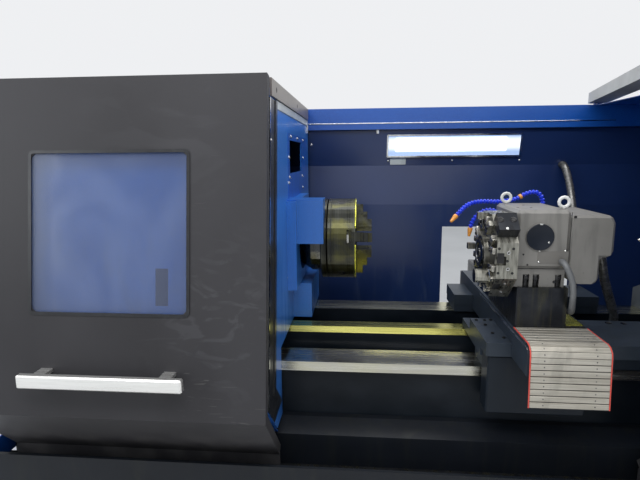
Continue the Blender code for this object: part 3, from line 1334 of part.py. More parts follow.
def make_tools(disc, flat):
    upper_front = math.pi - math.tau / STATIONS
    width = TOOL_BLOCK_WIDTH / 2
    reach = (flat + SEAT, flat + TOOL_BLOCK_HEIGHT)
    block = disc_box("tool_block", upper_front, reach, width, inset(DISC_X, BOND))
    finish(carry(block, "turret_disc"), "black_steel")
    shank_x = (DISC_X[0] - SHANK_REACH, DISC_X[0] + POCKET_LENGTH * STEM_SHARE + BOND)
    shank_reach = (flat - POCKET_DEPTH * 2 - BOND, flat - POCKET_DEPTH * 2 + SHANK)
    for i, station in enumerate((0, 2)):
        angle = math.tau * station / STATIONS
        fuse(disc, disc_box(f"turning_tool_{i + 1}", angle, shank_reach, SHANK / 2, shank_x))
    angle = -math.pi / 2 - math.tau / STATIONS
    middle = flat - POCKET_DEPTH * 2 - HOLDER_RADIUS - BOND
    y = DISC_Y + middle * math.cos(angle)
    z = DISC_Z + middle * math.sin(angle)
    holder_x = DISC_X[0] - HOLDER_REACH
    fuse(disc, cylinder("boring_holder", (holder_x, y, z), HOLDER_RADIUS, HOLDER_REACH + BOND, "X", SMALL_SIDES))


def raised(route, low, high):
    """A route whose own heights are shares of the way from one height to another."""
    return [(x, y, low + (high - low) * share) for x, y, share in route]


# Heights in these routes are shares of the way from the bed's ways to the top of the housing
HOSE_ROUTE = [
    (0.5, -0.2847, 0.9187), (0.5, -0.272, 0.9187), (0.499, -0.264, 0.9593), (0.492, -0.264, 1.0276),
    (0.468, -0.266, 1.0699), (0.425, -0.268, 1.0634), (0.372, -0.272, 1.0211), (0.3, -0.274, 1.0049),
    (0.225, -0.278, 1.0065), (0.168, -0.292, 0.9854), (0.118, -0.32, 0.9187), (0.085, -0.34, 0.865),
]
SHORT_HOSE_ROUTE = [
    (0.33, -0.2997, 0.8943), (0.33, -0.284, 0.8943), (0.322, -0.268, 0.9106), (0.296, -0.254, 0.935),
    (0.25, -0.25, 0.935), (0.208, -0.25, 0.878), (0.192, -0.25, 0.8049), (0.186, -0.25, 0.7236),
]
FRONT_CONDUIT_ROUTE = [
    (0.458, -0.6003, 0.6829), (0.458, -0.622, 0.6829), (0.466, -0.64, 0.6504), (0.481, -0.648, 0.5854),
    (0.49, -0.647, 0.5203), (0.494, -0.64, 0.4553), (0.503, -0.618, 0.3935), (0.512, -0.592, 0.3577),
    (0.506, -0.565, 0.3447), (0.4928, -0.565, 0.3447),
]
REAR_CONDUIT_ROUTE = [
    (0.6483, -0.34, 0.7967), (0.676, -0.34, 0.7967), (0.712, -0.335, 0.7236), (0.735, -0.325, 0.6179),
    (0.757, -0.31, 0.4959), (0.79, -0.285, 0.374), (0.825, -0.26, 0.2602), (0.85, -0.245, 0.1626),
    (0.855, -0.24, 0.1138), (0.855, -0.24, 0.0628),
]
# and here from the top of the rear wing to the fold below the lamp
OVERHEAD_ROUTE = [
    (0.95, 0.7205, 1), (0.95, 0.69, 1), (0.952, 0.64, 0.9401), (0.958, 0.585, 0.8053),
    (0.958, 0.52, 0.6106), (0.945, 0.44, 0.4009), (0.915, 0.34, 0.2062), (0.885, 0.258, 0.1014),
    (0.872, 0.24, 0.049), (0.872, 0.24, 0),
]


def make_hoses():
    steps = 4
    hoses = (
        ("coolant_hose_long", HOSE_ROUTE, HOSE_RADIUS, "blue_plastic"),
        ("coolant_hose_short", SHORT_HOSE_ROUTE, HOSE_RADIUS, "blue_plastic"),
        ("front_conduit", FRONT_CONDUIT_ROUTE, CONDUIT_RADIUS, "grey_rubber"),
        ("rear_conduit", REAR_CONDUIT_ROUTE, REAR_CONDUIT_RADIUS, "grey_rubber"),
    )
    for name, route, radius, material in hoses:
        points = smooth_route(raised(route, WAY_Z, HOUSING_TOP), steps)
        finish(carry(tube(name, points, radius), "cross_slide"), material)
    points = smooth_route(raised(OVERHEAD_ROUTE, WING_TOP + SEAT, LAMP_PANEL_Z), steps)
    finish(carry(tube("overhead_conduit", points, OVERHEAD_RADIUS), "saddle"), "bright_steel")


# Tailstock
def make_tailstock():
    body("tailstock", (centre(TAIL_X), 0, WAY_Z), "machine")
    foot_z = (WAY_Z + SEAT, TAIL_FOOT_TOP)
    half = TAIL_HALF_WIDTH
    outline = [
        (TAIL_FOOT_Y[0], foot_z[0]), (TAIL_FOOT_Y[1], foot_z[0]), (TAIL_FOOT_Y[1], TAIL_FOOT_TOP),
        (half, TAIL_FOOT_TOP + half - TAIL_BARREL_RADIUS),
    ]
    steps = SMALL_SIDES
    for step in range(steps + 1):
        angle = math.pi * step / steps
        y = TAIL_BARREL_RADIUS * math.cos(angle)
        outline.append((y, SPINDLE_HEIGHT + TAIL_BARREL_RADIUS * math.sin(angle)))
    outline += [(-half, TAIL_FOOT_TOP + half - TAIL_BARREL_RADIUS), (TAIL_FOOT_Y[0], TAIL_FOOT_TOP)]
    tail = prism("tailstock_body", outline, "X", TAIL_X)
    place = (TAIL_X[0] - OVERRUN, 0, SPINDLE_HEIGHT)
    depth = length_of(TAIL_X) + OVERRUN - TAIL_END_WALL
    cut(tail, cylinder("quill_bore", place, clear_of(QUILL_RADIUS), depth, "X"))
    depth = length_of(TAIL_X) + OVERRUN * 2
    radius = clear_of(WHEEL_SHAFT_RADIUS)
    cut(tail, cylinder("wheel_shaft_bore", place, radius, depth, "X"))
    finish(carry(tail, "tailstock"), "casting")
    axis = (0, 0, SPINDLE_HEIGHT)
    body("quill", axis, "tailstock")
    quill_end = TAIL_X[1] - QUILL_TRAVEL / 2
    socket = CENTRE_LENGTH
    profile = [
        (0, quill_end), (QUILL_RADIUS, quill_end), (QUILL_RADIUS, TAIL_QUILL_X),
        (QUILL_BORE, TAIL_QUILL_X), (QUILL_BORE, TAIL_QUILL_X + socket), (0, TAIL_QUILL_X + socket),
    ]
    finish(carry(turned("tailstock_quill", profile, axis), "quill"), "bright_steel")
    body("live_centre", axis, "quill")
    stem = QUILL_BORE - SEAT * 4
    point = [
        (0, TAIL_QUILL_X + socket - RUNNING), (stem, TAIL_QUILL_X + socket - RUNNING),
        (stem, TAIL_QUILL_X - SEAT), (CENTRE_RADIUS, TAIL_QUILL_X - SEAT),
        (CENTRE_RADIUS, TAIL_QUILL_X - CENTRE_LENGTH / 3), (0, CENTRE_TIP_X),
    ]
    finish(carry(turned("live_centre", point, axis), "live_centre"), "bright_steel")
    make_handwheel(axis)


def make_handwheel(axis):
    body("tail_handwheel", axis, "tailstock")
    hub_start = TAIL_X[1] + SEAT
    rim_x = TAIL_X[1] + HANDWHEEL_GAP
    rim = HANDWHEEL_RIM
    profile = [
        (0, rim_x + rim * 2), (HUB_RADIUS, rim_x + rim * 2), (HUB_RADIUS, rim_x + rim),
        (HANDWHEEL_RADIUS - rim * 2, rim_x + rim), (HANDWHEEL_RADIUS - rim, rim_x + rim * 2),
        (HANDWHEEL_RADIUS, rim_x + rim * 2), (HANDWHEEL_RADIUS, rim_x), (HANDWHEEL_RADIUS - rim * 2, rim_x),
        (HUB_RADIUS, rim_x), (HUB_RADIUS, hub_start), (WHEEL_SHAFT_RADIUS, hub_start),
        (WHEEL_SHAFT_RADIUS, TAIL_X[1] - TAIL_END_WALL), (0, TAIL_X[1] - TAIL_END_WALL),
    ]
    wheel = turned("tail_handwheel", profile, axis)
    place = (rim_x + rim, 0, SPINDLE_HEIGHT + HANDWHEEL_RADIUS - rim * 3 / 2)
    fuse(wheel, cylinder("wheel_crank", place, CRANK_RADIUS, CRANK_LENGTH, "X", SMALL_SIDES))
    finish(carry(wheel, "tail_handwheel"), "black_plastic")


# Back of the machine
def make_back():
    near = BASE_REAR_Y + SEAT * 2 + SHEET
    cabinet_y = (near, HALF_DEPTH)
    cabinet = box("electrical_cabinet", CABINET_X, cabinet_y, (CABINET_PLINTH, CABINET_TOP))
    plinth_x = inset(CABINET_X, CABINET_INSET)
    fuse(cabinet, box("cabinet_plinth", plinth_x, inset(cabinet_y, CABINET_INSET), (0, CABINET_PLINTH + BOND)))
    finish(carry(cabinet, "machine"), "light_paint")
    tank = box("coolant_tank", TANK_X, (near, near + TANK_DEPTH), (0, TANK_TOP))
    place = (TANK_X[1] - PUMP_RADIUS * 2, near + TANK_DEPTH / 2, TANK_TOP - BOND)
    fuse(tank, cylinder("coolant_pump", place, PUMP_RADIUS, PUMP_HEIGHT))
    finish(carry(tank, "machine"), "dark_paint")


# Pendant
def make_pendant():
    body("pendant_arm", (PIVOT_X, PIVOT_Y, GUARD_TOP), "machine")
    half = ARM_WIDTH / 2
    outline = []
    direction = -math.pi / 2 - ARM_ANGLE
    steps = SMALL_SIDES // 2
    ends = (((PIVOT_X, PIVOT_Y), direction + math.pi / 2), ((HANG_X, HANG_Y), direction - math.pi / 2))
    for middle, start in ends:
        for step in range(steps + 1):
            angle = start + math.pi * step / steps
            outline.append((middle[0] + half * math.cos(angle), middle[1] + half * math.sin(angle)))
    arm = prism("pendant_arm", outline, "Z", (ARM_BOTTOM, ARM_BOTTOM + ARM_HEIGHT))
    finish(carry(arm, "pendant_arm"), "light_paint")
    body("pendant", (HANG_X, HANG_Y, ARM_BOTTOM), "pendant_arm")
    front = PENDANT_FRONT
    face = front + CONSOLE_DEPTH
    back = face + PENDANT_THICKNESS
    section = [
        (back, PENDANT_TOP), (back, PENDANT_BOTTOM), (front, PENDANT_BOTTOM), (front, PENDANT_CHIN_Z - CONSOLE_SLOPE),
        (face, PENDANT_CHIN_Z), (face, PENDANT_TOP),
    ]
    x = (HANG_X - PENDANT_WIDTH / 2, HANG_X + PENDANT_WIDTH / 2)
    housing = bevel(prism("pendant_housing", section, "X", x), PENDANT_BEVEL)
    hang_z = PENDANT_TOP - PENDANT_BEVEL
    fuse(housing, cylinder("hanger", (HANG_X, HANG_Y, hang_z), HANGER_RADIUS, ARM_BOTTOM - SEAT - hang_z))
    screen_z = (PENDANT_CHIN_Z + CONSOLE_SLOPE, PENDANT_CHIN_Z + CONSOLE_SLOPE + SCREEN_HEIGHT)
    screen_x = (HANG_X - SCREEN_LENGTH / 2, HANG_X + SCREEN_LENGTH / 2)
    cut(housing, box("screen_recess", screen_x, (face - OVERRUN, face + SCREEN_DEPTH), screen_z))
    controls = {
        "emergency_stop": (0.16, 0.70, ESTOP_RADIUS, ESTOP_REACH, "red_plastic"),
        "start_button": (0.16, 0.28, BUTTON_RADIUS, BUTTON_REACH, "green_plastic"),
        "override_knob": (0.48, 0.50, KNOB_RADIUS, KNOB_REACH, "black_plastic"),
        "pulse_handwheel": (0.80, 0.50, PULSE_RADIUS, PULSE_REACH, "black_plastic"),
    }
    panel_z = (PENDANT_BOTTOM, PENDANT_CHIN_Z - CONSOLE_SLOPE)
    for name, (across_share, up_share, radius, reach, material) in controls.items():
        place = (at_share(x, across_share), front, at_share(panel_z, up_share))
        add_control(name, place, radius, reach, material, housing)
    finish(carry(housing, "pendant"), "light_paint")


def add_control(name, place, radius, reach, material, housing):
    """A button or knob with a stem that runs in a hole of the housing."""
    body(name, place, "pendant")
    stem = radius * STEM_SHARE
    gap = RUNNING
    press = BUTTON_REACH * STEM_SHARE
    profile = [
        (0, BUTTON_DEPTH), (stem, BUTTON_DEPTH), (stem, -gap - press), (radius, -gap - press),
        (radius, -reach), (0, -reach),
    ]
    control = turned(name, profile, place, "Y", SMALL_SIDES)
    finish(carry(control, name), material)
    hole_at = (place[0], place[1] - OVERRUN, place[2])
    depth = OVERRUN + BUTTON_DEPTH + press + RUNNING
    cut(housing, cylinder(name + "_hole", hole_at, clear_of(stem, SMALL_SIDES), depth, "Y", SMALL_SIDES))


def main():
    body("machine")
    make_base()
    make_door_rail()
    make_bed()
    make_covers()
    make_end_plate("left_end_plate", (-HALF_LENGTH, SHEET - HALF_LENGTH), True)
    make_end_plate("right_end_plate", (HALF_LENGTH - SHEET, HALF_LENGTH), False)
    make_side_wall()
    make_rear_guard()
    make_lamp()
    make_door("left", 1)
    make_door("right", -1)
    make_headstock()
    make_spindle()
    make_drive()
    make_z_drive()
    make_saddle()
    make_cross_slide()
    make_curtain()
    make_tailstock()
    make_back()
    make_pendant()


main()
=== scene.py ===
# %% [markdown]
# # Dressing a flat-bed turning lathe
# The solid model comes in as a frame that stays fixed. The cells set up a view and soft light, and
# then add finishes and the small pieces that the solids are too plain to show. Most new pieces ride
# on the body that carries them on the real machine; the rear and overhead sheaths and the curtain
# are not put on a body.

# %% Load the frame
import math

import bpy
from mathutils import Matrix, Vector


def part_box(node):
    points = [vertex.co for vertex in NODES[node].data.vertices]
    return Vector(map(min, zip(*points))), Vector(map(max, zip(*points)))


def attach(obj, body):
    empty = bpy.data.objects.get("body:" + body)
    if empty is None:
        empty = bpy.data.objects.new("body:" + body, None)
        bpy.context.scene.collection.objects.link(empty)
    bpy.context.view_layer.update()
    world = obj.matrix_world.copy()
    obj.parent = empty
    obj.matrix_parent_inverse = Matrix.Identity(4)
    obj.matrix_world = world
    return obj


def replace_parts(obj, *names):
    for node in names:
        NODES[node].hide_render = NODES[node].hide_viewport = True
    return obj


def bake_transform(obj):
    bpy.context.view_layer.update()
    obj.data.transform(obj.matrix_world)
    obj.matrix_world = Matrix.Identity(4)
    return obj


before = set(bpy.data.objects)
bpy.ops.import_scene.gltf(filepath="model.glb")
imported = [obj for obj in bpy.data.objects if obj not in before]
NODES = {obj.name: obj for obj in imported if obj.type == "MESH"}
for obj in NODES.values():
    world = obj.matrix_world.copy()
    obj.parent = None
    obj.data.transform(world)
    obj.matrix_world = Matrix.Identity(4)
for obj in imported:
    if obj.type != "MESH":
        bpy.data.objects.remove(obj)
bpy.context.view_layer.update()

SPINDLE_Z = 1.175

# %% [markdown]
# ## The view
# The machine is seen from where an operator stands, a little left of the work area and looking
# down. A lens of 27 mm takes in the whole opening between the doors. The camera is turned by
# three plain angles: to the left, down, and a small lean.

# %% The camera
EYE = Vector((-0.299, -2.454, 1.588))
TURN, DOWN, LEAN = 5.0, 9.8, -0.45
turn = Matrix.Rotation(math.radians(TURN), 4, "Z")
tip = Matrix.Rotation(math.radians(90 - DOWN), 4, "X")
lean = Matrix.Rotation(math.radians(LEAN), 4, "Z")
camera = bpy.data.objects.new("eye", bpy.data.cameras.new("eye"))
camera.matrix_world = Matrix.Translation(EYE) @ turn @ tip @ lean
camera.data.lens = 27.0
camera.data.sensor_width = 36.0
camera.data.clip_start = 0.02
bpy.context.scene.collection.objects.link(camera)
bpy.context.scene.camera = camera
print("camera at", tuple(round(v, 3) for v in EYE), "with a lens of", camera.data.lens, "mm")

# %% [markdown]
# ## A short hand for shader nodes
# Every finish below is a small tree of nodes. These helpers add one node at a time to the tree in
# hand: an input that is given a socket is linked, and an input that is given a number is set.

# %% Node helpers
in_hand = {}


def join_or_set(socket, value):
    """Link a socket to another one, or set it to a number or a colour."""
    if isinstance(value, bpy.types.NodeSocket):
        in_hand["tree"].links.new(value, socket)
    elif socket.type == "RGBA" and len(value) == 3:
        socket.default_value = (*value, 1.0)
    else:
        socket.default_value = value


def add(kind, inputs=None, **settings):
    node = in_hand["tree"].nodes.new("ShaderNode" + kind)
    for key, value in settings.items():
        setattr(node, key, value)
    for key, value in (inputs or {}).items():
        join_or_set(node.inputs[key], value)
    return node


def coords():
    return add("TexCoord").outputs["Object"]


def noise(scale, stretch=(1, 1, 1), detail=4.0, warp=0.0, place=None):
    vector = place or coords()
    vector = add("Mapping", {"Vector": vector, "Scale": stretch}).outputs[0]
    values = {"Vector": vector, "Scale": scale, "Detail": detail, "Distortion": warp}
    return add("TexNoise", values).outputs["Fac"]


def cells(scale, feature="F1"):
    vector = add("Mapping", {"Vector": coords()}).outputs[0]
    return add("TexVoronoi", {"Vector": vector, "Scale": scale},
               feature=feature).outputs["Distance"]


def ease(value, low, high, start=0.0, end=1.0):
    values = {"Value": value, "From Min": low, "From Max": high, "To Min": start, "To Max": end}
    return add("MapRange", values, interpolation_type="SMOOTHSTEP").outputs["Result"]


def maths(operation, *values):
    return add("Math", dict(enumerate(values)), operation=operation).outputs[0]


def times(first, second):
    return maths("MULTIPLY", first, second)


def most(first, second):
    return maths("MAXIMUM", first, second)


def mix(share, first, second):
    return add("Mix", {0: share, 6: first, 7: second}, data_type="RGBA").outputs[2]


def over(colour, mask, strength, coat):
    """Lay a coat over a colour where a mask is, at some strength."""
    return mix(times(mask, strength), colour, coat)


def bump(height, strength, distance=0.001):
    values = {"Height": height, "Strength": strength, "Distance": distance}
    return add("Bump", values).outputs["Normal"]


def facing(axis):
    """How far a face looks along an axis of its own piece, from -1 to 1."""
    normal = add("TexCoord").outputs["Normal"]
    return add("SeparateXYZ", {"Vector": normal}).outputs["XYZ".index(axis)]


def along(axis):
    return add("SeparateXYZ", {"Vector": coords()}).outputs["XYZ".index(axis)]


print("node helpers:", ", ".join(f.__name__ for f in (add, noise, cells, ease, mix, over, bump)))

# %% Start, feed and wear a material
def take(material):
    """Take a material in hand: the node helpers work on it from here on."""
    in_hand["tree"] = material.node_tree
    in_hand["shader"] = material.node_tree.nodes["Principled BSDF"]
    return in_hand["shader"]


def finish(name, roughness, metallic=0.0, **sockets):
    made = bpy.data.materials.new(name)
    made.use_nodes = True
    shader = take(made)
    shader.inputs["Roughness"].default_value = roughness
    shader.inputs["Metallic"].default_value = metallic
    for key, value in sockets.items():
        shader.inputs[key.replace("_", " ")].default_value = value
    return made


def feed(**sockets):
    for key, value in sockets.items():
        in_hand["tree"].links.new(value, in_hand["shader"].inputs[key.replace("_", " ")])


def colour_of(material):
    """Take a finished material in hand again, and give the colour it has so far."""
    return take(material).inputs["Base Color"].links[0].from_socket


def dress(material, *names):
    for name in names:
        NODES[name].data.materials.clear()
        NODES[name].data.materials.append(material)
    print(material.name, "on", ", ".join(names))


print("materials before the first finish:", len(bpy.data.materials))

# %% [markdown]
# ## Light and floor
# A workshop is lit by long ceiling lamps. Two wide soft lamps stand in for them, one above the
# operator and one above the back, and a weak lamp fills from the left. The world gives the even
# light between them, and a paler white where the camera or a mirror sees it.

# %% The lamps, the world and the floor
def soft_lamp(name, place, aim, size, power, colour=(1.0, 1.0, 1.0)):
    lamp = bpy.data.lights.new(name, "AREA")
    lamp.shape = "RECTANGLE"
    lamp.size, lamp.size_y = size
    lamp.energy = power
    lamp.color = colour
    holder = bpy.data.objects.new(name, lamp)
    holder.location = place
    holder.rotation_euler = (Vector(aim) - Vector(place)).to_track_quat("-Z", "Y").to_euler()
    bpy.context.scene.collection.objects.link(holder)


soft_lamp("ceiling_front", (-0.6, -2.6, 4.0), (0.0, -0.2, 0.9), (4.5, 0.9), 95)
soft_lamp("ceiling_back", (0.4, 0.6, 4.2), (0.2, 0.0, 0.9), (4.5, 0.8), 75)
soft_lamp("window_left", (-4.2, -2.8, 2.4), (0.0, 0.0, 1.0), (2.4, 2.0), 45, (0.92, 0.96, 1.0))

world = bpy.data.worlds.new("studio")
bpy.context.scene.world = world
world.use_nodes = True
world.node_tree.nodes.clear()
in_hand["tree"] = world.node_tree
rays = add("LightPath").outputs
seen = rays["Is Camera Ray"]
for kind in ("Is Glossy Ray", "Is Transmission Ray"):
    seen = most(seen, rays[kind])
dim = add("Background", {"Color": (0.80, 0.85, 0.92), "Strength": 0.50}).outputs[0]
pale = add("Background", {"Color": (0.86, 0.87, 0.89)}).outputs[0]
shown = add("MixShader", {0: seen, 1: dim, 2: pale}).outputs[0]
add("OutputWorld", {"Surface": shown})

bpy.ops.mesh.primitive_plane_add(size=40)
floor = bpy.context.object
floor.name = "floor"
bpy.context.scene.view_settings.view_transform = "Standard"
print("lamps:", len(bpy.data.lights), "world nodes:", len(world.node_tree.nodes))

# %% [markdown]
# ## Floor finish
# Sealed concrete is pale, with slow clouds and a few fine specks. The object stands on it, so it
# keeps only a soft shadow.

# %% Floor finish
made = finish("sealed_concrete", 0.60)
clouds = ease(noise(0.8, detail=6.0), 0.3, 0.7)
specks = ease(noise(60.0), 0.62, 0.75)
colour = mix(clouds, (0.78, 0.78, 0.77), (0.86, 0.86, 0.85))
colour = mix(specks, colour, (0.66, 0.66, 0.65))
feed(Base_Color=colour)
floor.data.materials.append(made)
print("floor finish:", made.name)

# %% [markdown]
# ## Charcoal door paint
# The sliding doors have a matte charcoal coat with the faint skin of sprayed powder. Hands in
# oily gloves leave paler, shinier smears round the window and the handle, and tools leave short
# light scratches. Both are made from stretched noise that is cut off at a level.

# %% Door paint
def smears(place, reach, scale):
    """A patch of smears that fades out from a place."""
    away = add("VectorMath", {0: coords(), 1: place}, operation="DISTANCE").outputs["Value"]
    patch = ease(away, reach, 0.0)
    marks = ease(noise(scale, (1.0, 1.0, 2.2), 6.0, 1.6), 0.50, 0.64)
    return times(patch, marks)


HANDLE_PLACE, WINDOW_PLACE = (-0.79, -0.85, 1.02), (-0.95, -0.78, 1.75)
made = finish("charcoal_powder_coat", 0.50, Specular_IOR_Level=0.28)
grain = noise(900.0, detail=2.0)
skin = noise(160.0, detail=3.0)
tone = ease(noise(2.2, (1, 1, 0.5), 5.0), 0.30, 0.72)
colour = mix(tone, (0.030, 0.029, 0.032), (0.042, 0.041, 0.045))
hands = smears(HANDLE_PLACE, 0.42, 7.0)
rub = smears(WINDOW_PLACE, 0.50, 3.0)
touched = most(hands, times(rub, 0.5))
colour = over(colour, touched, 0.22, (0.120, 0.120, 0.130))
lines = noise(26.0, (0.15, 1.0, 2.6), 1.0, 2.5)
scratch = times(ease(lines, 0.695, 0.715), ease(noise(1.7), 0.58, 0.68))
colour = over(colour, scratch, 0.25, (0.22, 0.21, 0.20))
low = ease(along("Z"), 0.62, 0.36)
dust = times(low, ease(noise(9.0, detail=6.0), 0.35, 0.75))
colour = over(colour, dust, 0.22, (0.20, 0.19, 0.18))
gloss = ease(tone, 0.0, 1.0, 0.46, 0.58)
gloss = maths("SUBTRACT", gloss, times(touched, 0.10))
height = maths("ADD", grain, times(skin, 1.4))
feed(Base_Color=colour, Roughness=gloss, Normal=bump(height, 0.18))
dress(made, "left_door_panel", "right_door_panel")

# %% [markdown]
# ## Blue hammered paint
# The fixed guards have a bright blue coat of the hammered kind: small round dimples that catch the
# light, each with a darker rim. Cells of a Voronoi texture give the dimples, and a fine noise
# paints lighter specks into the colour as painted glints. Splashed coolant dries to dull streaks
# below the spindle.

# %% Blue paint
def blue_paint(name, dull, low_blue=(0.012, 0.110, 0.470), high_blue=(0.018, 0.150, 0.600),
               shade_below=0.0):
    made = finish(name, 0.30, Specular_IOR_Level=0.6, Coat_Weight=0.3, Coat_Roughness=0.18)
    dimples = ease(cells(210.0, feature="SMOOTH_F1"), 0.05, 0.60)
    # Painted glints: a fine noise lays lighter blue specks into the colour where the flakes would
    # catch the light.
    painted_glints = ease(noise(520.0, detail=1.0), 0.60, 0.72)
    tone = ease(noise(1.6, detail=5.0), 0.30, 0.70)
    colour = mix(tone, low_blue, high_blue)
    colour = over(colour, dimples, 0.30, (0.004, 0.050, 0.270))
    colour = over(colour, painted_glints, 0.50, (0.080, 0.270, 0.800))
    # Painted shade: below the given height the colour turns dark navy, for the shadow under a
    # brightly lit beam.
    if shade_below:
        shade = ease(along("Z"), shade_below + 0.004, shade_below - 0.004)
        shadow_navy = mix(tone, (0.010, 0.026, 0.100), (0.015, 0.037, 0.130))
        colour = mix(shade, colour, shadow_navy)
    streaks = ease(noise(16.0, (1.0, 1.0, 0.12), 5.0, 0.6), 0.46, 0.70)
    wet = times(streaks, ease(along("Z"), 1.60, 0.80))
    colour = over(colour, wet, dull, (0.030, 0.060, 0.120))
    feed(Base_Color=colour, Normal=bump(dimples, 0.30, 0.0006))
    feed(Roughness=ease(wet, 0.0, 1.0, 0.28, 0.46))
    return made


BEAM_LOW = 1.756
blue = blue_paint("blue_hammered", 0.45)
# Painted light: the headstock wall gets a brighter copy of the blue, for the light falling on it.
lit_wall_blue = blue_paint("blue_hammered_wall_painted_light", 0.30, (0.022, 0.200, 0.720), (0.035, 0.260, 0.850))
painted = colour_of(lit_wall_blue)
# Painted shade: lower down and on the parts that stand off the wall face, the colour is darkened
# towards navy.
painted_shade = most(ease(along("Z"), 1.55, 1.15), ease(along("X"), -0.640, -0.606))
painted_shade = times(painted_shade, 0.60)
feed(Base_Color=mix(painted_shade, painted, (0.030, 0.130, 0.420)))
dress(lit_wall_blue, "headstock_side_wall")
dress(blue, "headstock_cover", "tail_cover", "left_end_plate", "right_end_plate")
# The rear guard's sheet below the beam is painted dark navy as painted shade; the beam above keeps
# the bright blue.
shaded_back_blue = blue_paint("blue_hammered_back_painted_shade", 0.25, (0.007, 0.085, 0.400), (0.010, 0.110, 0.500),
                       BEAM_LOW)
dress(shaded_back_blue, "rear_guard")

# %% [markdown]
# ## Greys: turret housing, castings and base
# A painted casting is never even. Under the coat lies the skin of the sand mould, and oil runs
# down it and leaves spots. One recipe serves the grey pieces, and each gets its own colour, gloss
# and amount of dirt.

# %% Painted greys
def grey_paint(name, colour, gloss, dirt, skin=60.0, relief=0.20, oil=(0.020, 0.022, 0.020),
               shine=0.5, zinc_from=0.0):
    made = finish(name, gloss, Specular_IOR_Level=shine)
    tone = ease(noise(5.0, detail=6.0), 0.28, 0.72)
    paler = tuple(c * 1.25 for c in colour)
    base = mix(tone, colour, paler)
    runs = ease(noise(22.0, (1.0, 1.0, 0.16), 5.0, 0.5), 0.48, 0.74)
    spots = ease(cells(48.0), 0.16, 0.06)
    spots = times(spots, ease(noise(6.0), 0.50, 0.62))
    grime = most(times(runs, dirt), times(spots, dirt))
    base = mix(grime, base, oil)
    rough = ease(grime, 0.0, 1.0, gloss, max(gloss - 0.18, 0.08))
    height = noise(skin, detail=5.0)
    if zinc_from:
        lifting = ease(along("Z"), zinc_from, zinc_from + 0.002)
        base = mix(lifting, base, mix(tone, (0.62, 0.62, 0.60), (0.80, 0.80, 0.78)))
    feed(Base_Color=base, Roughness=rough, Normal=bump(height, relief, 0.001))
    return made


BARE_EDGE = 1.387
dress(grey_paint("turret_grey", (0.185, 0.178, 0.165), 0.42, 0.30, 260.0, 0.10,
                 zinc_from=BARE_EDGE), "turret_housing")
dress(grey_paint("cover_grey", (0.185, 0.178, 0.165), 0.42, 0.30, 260.0, 0.10),
      "turret_motor_cover")
dress(grey_paint("casting_blue_grey", (0.034, 0.044, 0.056), 0.42, 0.40, shine=0.35),
      "headstock_casting", "tailstock_body")
dress(grey_paint("saddle_blue_grey", (0.026, 0.035, 0.048), 0.40, 0.45, shine=0.30),
      "saddle_casting")
dress(grey_paint("base_grey", (0.008, 0.010, 0.014), 0.38, 0.40, shine=0.25), "base_frame")
dress(grey_paint("apron_black", (0.008, 0.012, 0.018), 0.42, 0.30, shine=0.22), "apron_cover")
dress(grey_paint("tank_grey", (0.090, 0.100, 0.110), 0.45, 0.35), "coolant_tank")
dress(grey_paint("motor_grey", (0.060, 0.070, 0.080), 0.45, 0.35), "main_motor")
dress(grey_paint("pulley_iron", (0.070, 0.072, 0.074), 0.38, 0.30), "spindle_pulley",
      "motor_pulley")
pendant_paint = grey_paint("textured_light_grey", (0.470, 0.475, 0.460), 0.55, 0.10, 420.0, 0.45,
                           (0.25, 0.25, 0.24))
dress(pendant_paint, "pendant_arm", "pendant_housing")

# %% [markdown]
# ## Bed and ways
# The bed is one casting. Its sides are painted dark, while the ways and the front rail are
# ground steel, and behind the rail a film of yellow slideway oil lies on it. The direction that
# a face looks in picks between paint and steel, so one material covers both. Grinding leaves fine
# lines along the bed.

# %% Bed finish
def ground_lines(stretch, scale=90.0):
    fine = noise(scale, stretch, 6.0)
    coarse = noise(scale / 9, stretch, 3.0)
    return maths("ADD", times(fine, 0.7), times(coarse, 0.5))


RAIL_FRONT, RAIL_BACK = -0.485, -0.340
RAIL_TOP, BAND_LOW = 0.710, 0.667
made = finish("ground_ways", 0.25, 1.0, Specular_IOR_Level=0.25)
lines = ground_lines((0.03, 1.0, 1.0))
film = ease(noise(7.0, (0.35, 1.0, 1.0), 5.0, 0.8), 0.36, 0.62)
steel = mix(ease(lines, 0.45, 0.80), (0.46, 0.45, 0.42), (0.66, 0.65, 0.62))
flat = ease(facing("Z"), 0.60, 0.75)
high = ease(along("Z"), RAIL_TOP - 0.020, RAIL_TOP - 0.010)
bare = times(flat, high)
front_face = times(ease(facing("Y"), -0.60, -0.75),
                   ease(along("Y"), RAIL_FRONT + 0.005, RAIL_FRONT - 0.005))
band_low = ease(along("Z"), BAND_LOW - 0.003, BAND_LOW + 0.003)
bare = most(bare, times(front_face, band_low))
inner = times(ease(along("Y"), RAIL_BACK - 0.005, RAIL_BACK + 0.005),
              ease(along("Y"), 0.10, -0.02, 0.35))
film = most(times(film, 0.16), times(inner, 0.85))
oiled = mix(film, steel, (0.62, 0.58, 0.10))
paint = mix(ease(noise(9.0, (0.6, 1, 1), 6.0), 0.35, 0.70), (0.003, 0.006, 0.010),
            (0.009, 0.013, 0.019))
feed(Base_Color=mix(bare, paint, oiled), Metallic=bare)
rough = ease(lines, 0.35, 0.85, 0.16, 0.34)
feed(Roughness=most(rough, ease(bare, 1.0, 0.0, 0.0, 0.42)))
feed(Normal=bump(lines, 0.12, 0.0005))
dress(made, "bed_casting")

# %% [markdown]
# ## Turned steel
# The chuck, the backplate and the jaws are turned and ground, and an oil film makes them warm
# and yellow in places. A lathe tool leaves rings, so the pattern is drawn on the distance from
# the spindle's axis and on the place along it.

# %% Turned steel
AXIS = (0.0, SPINDLE_Z)


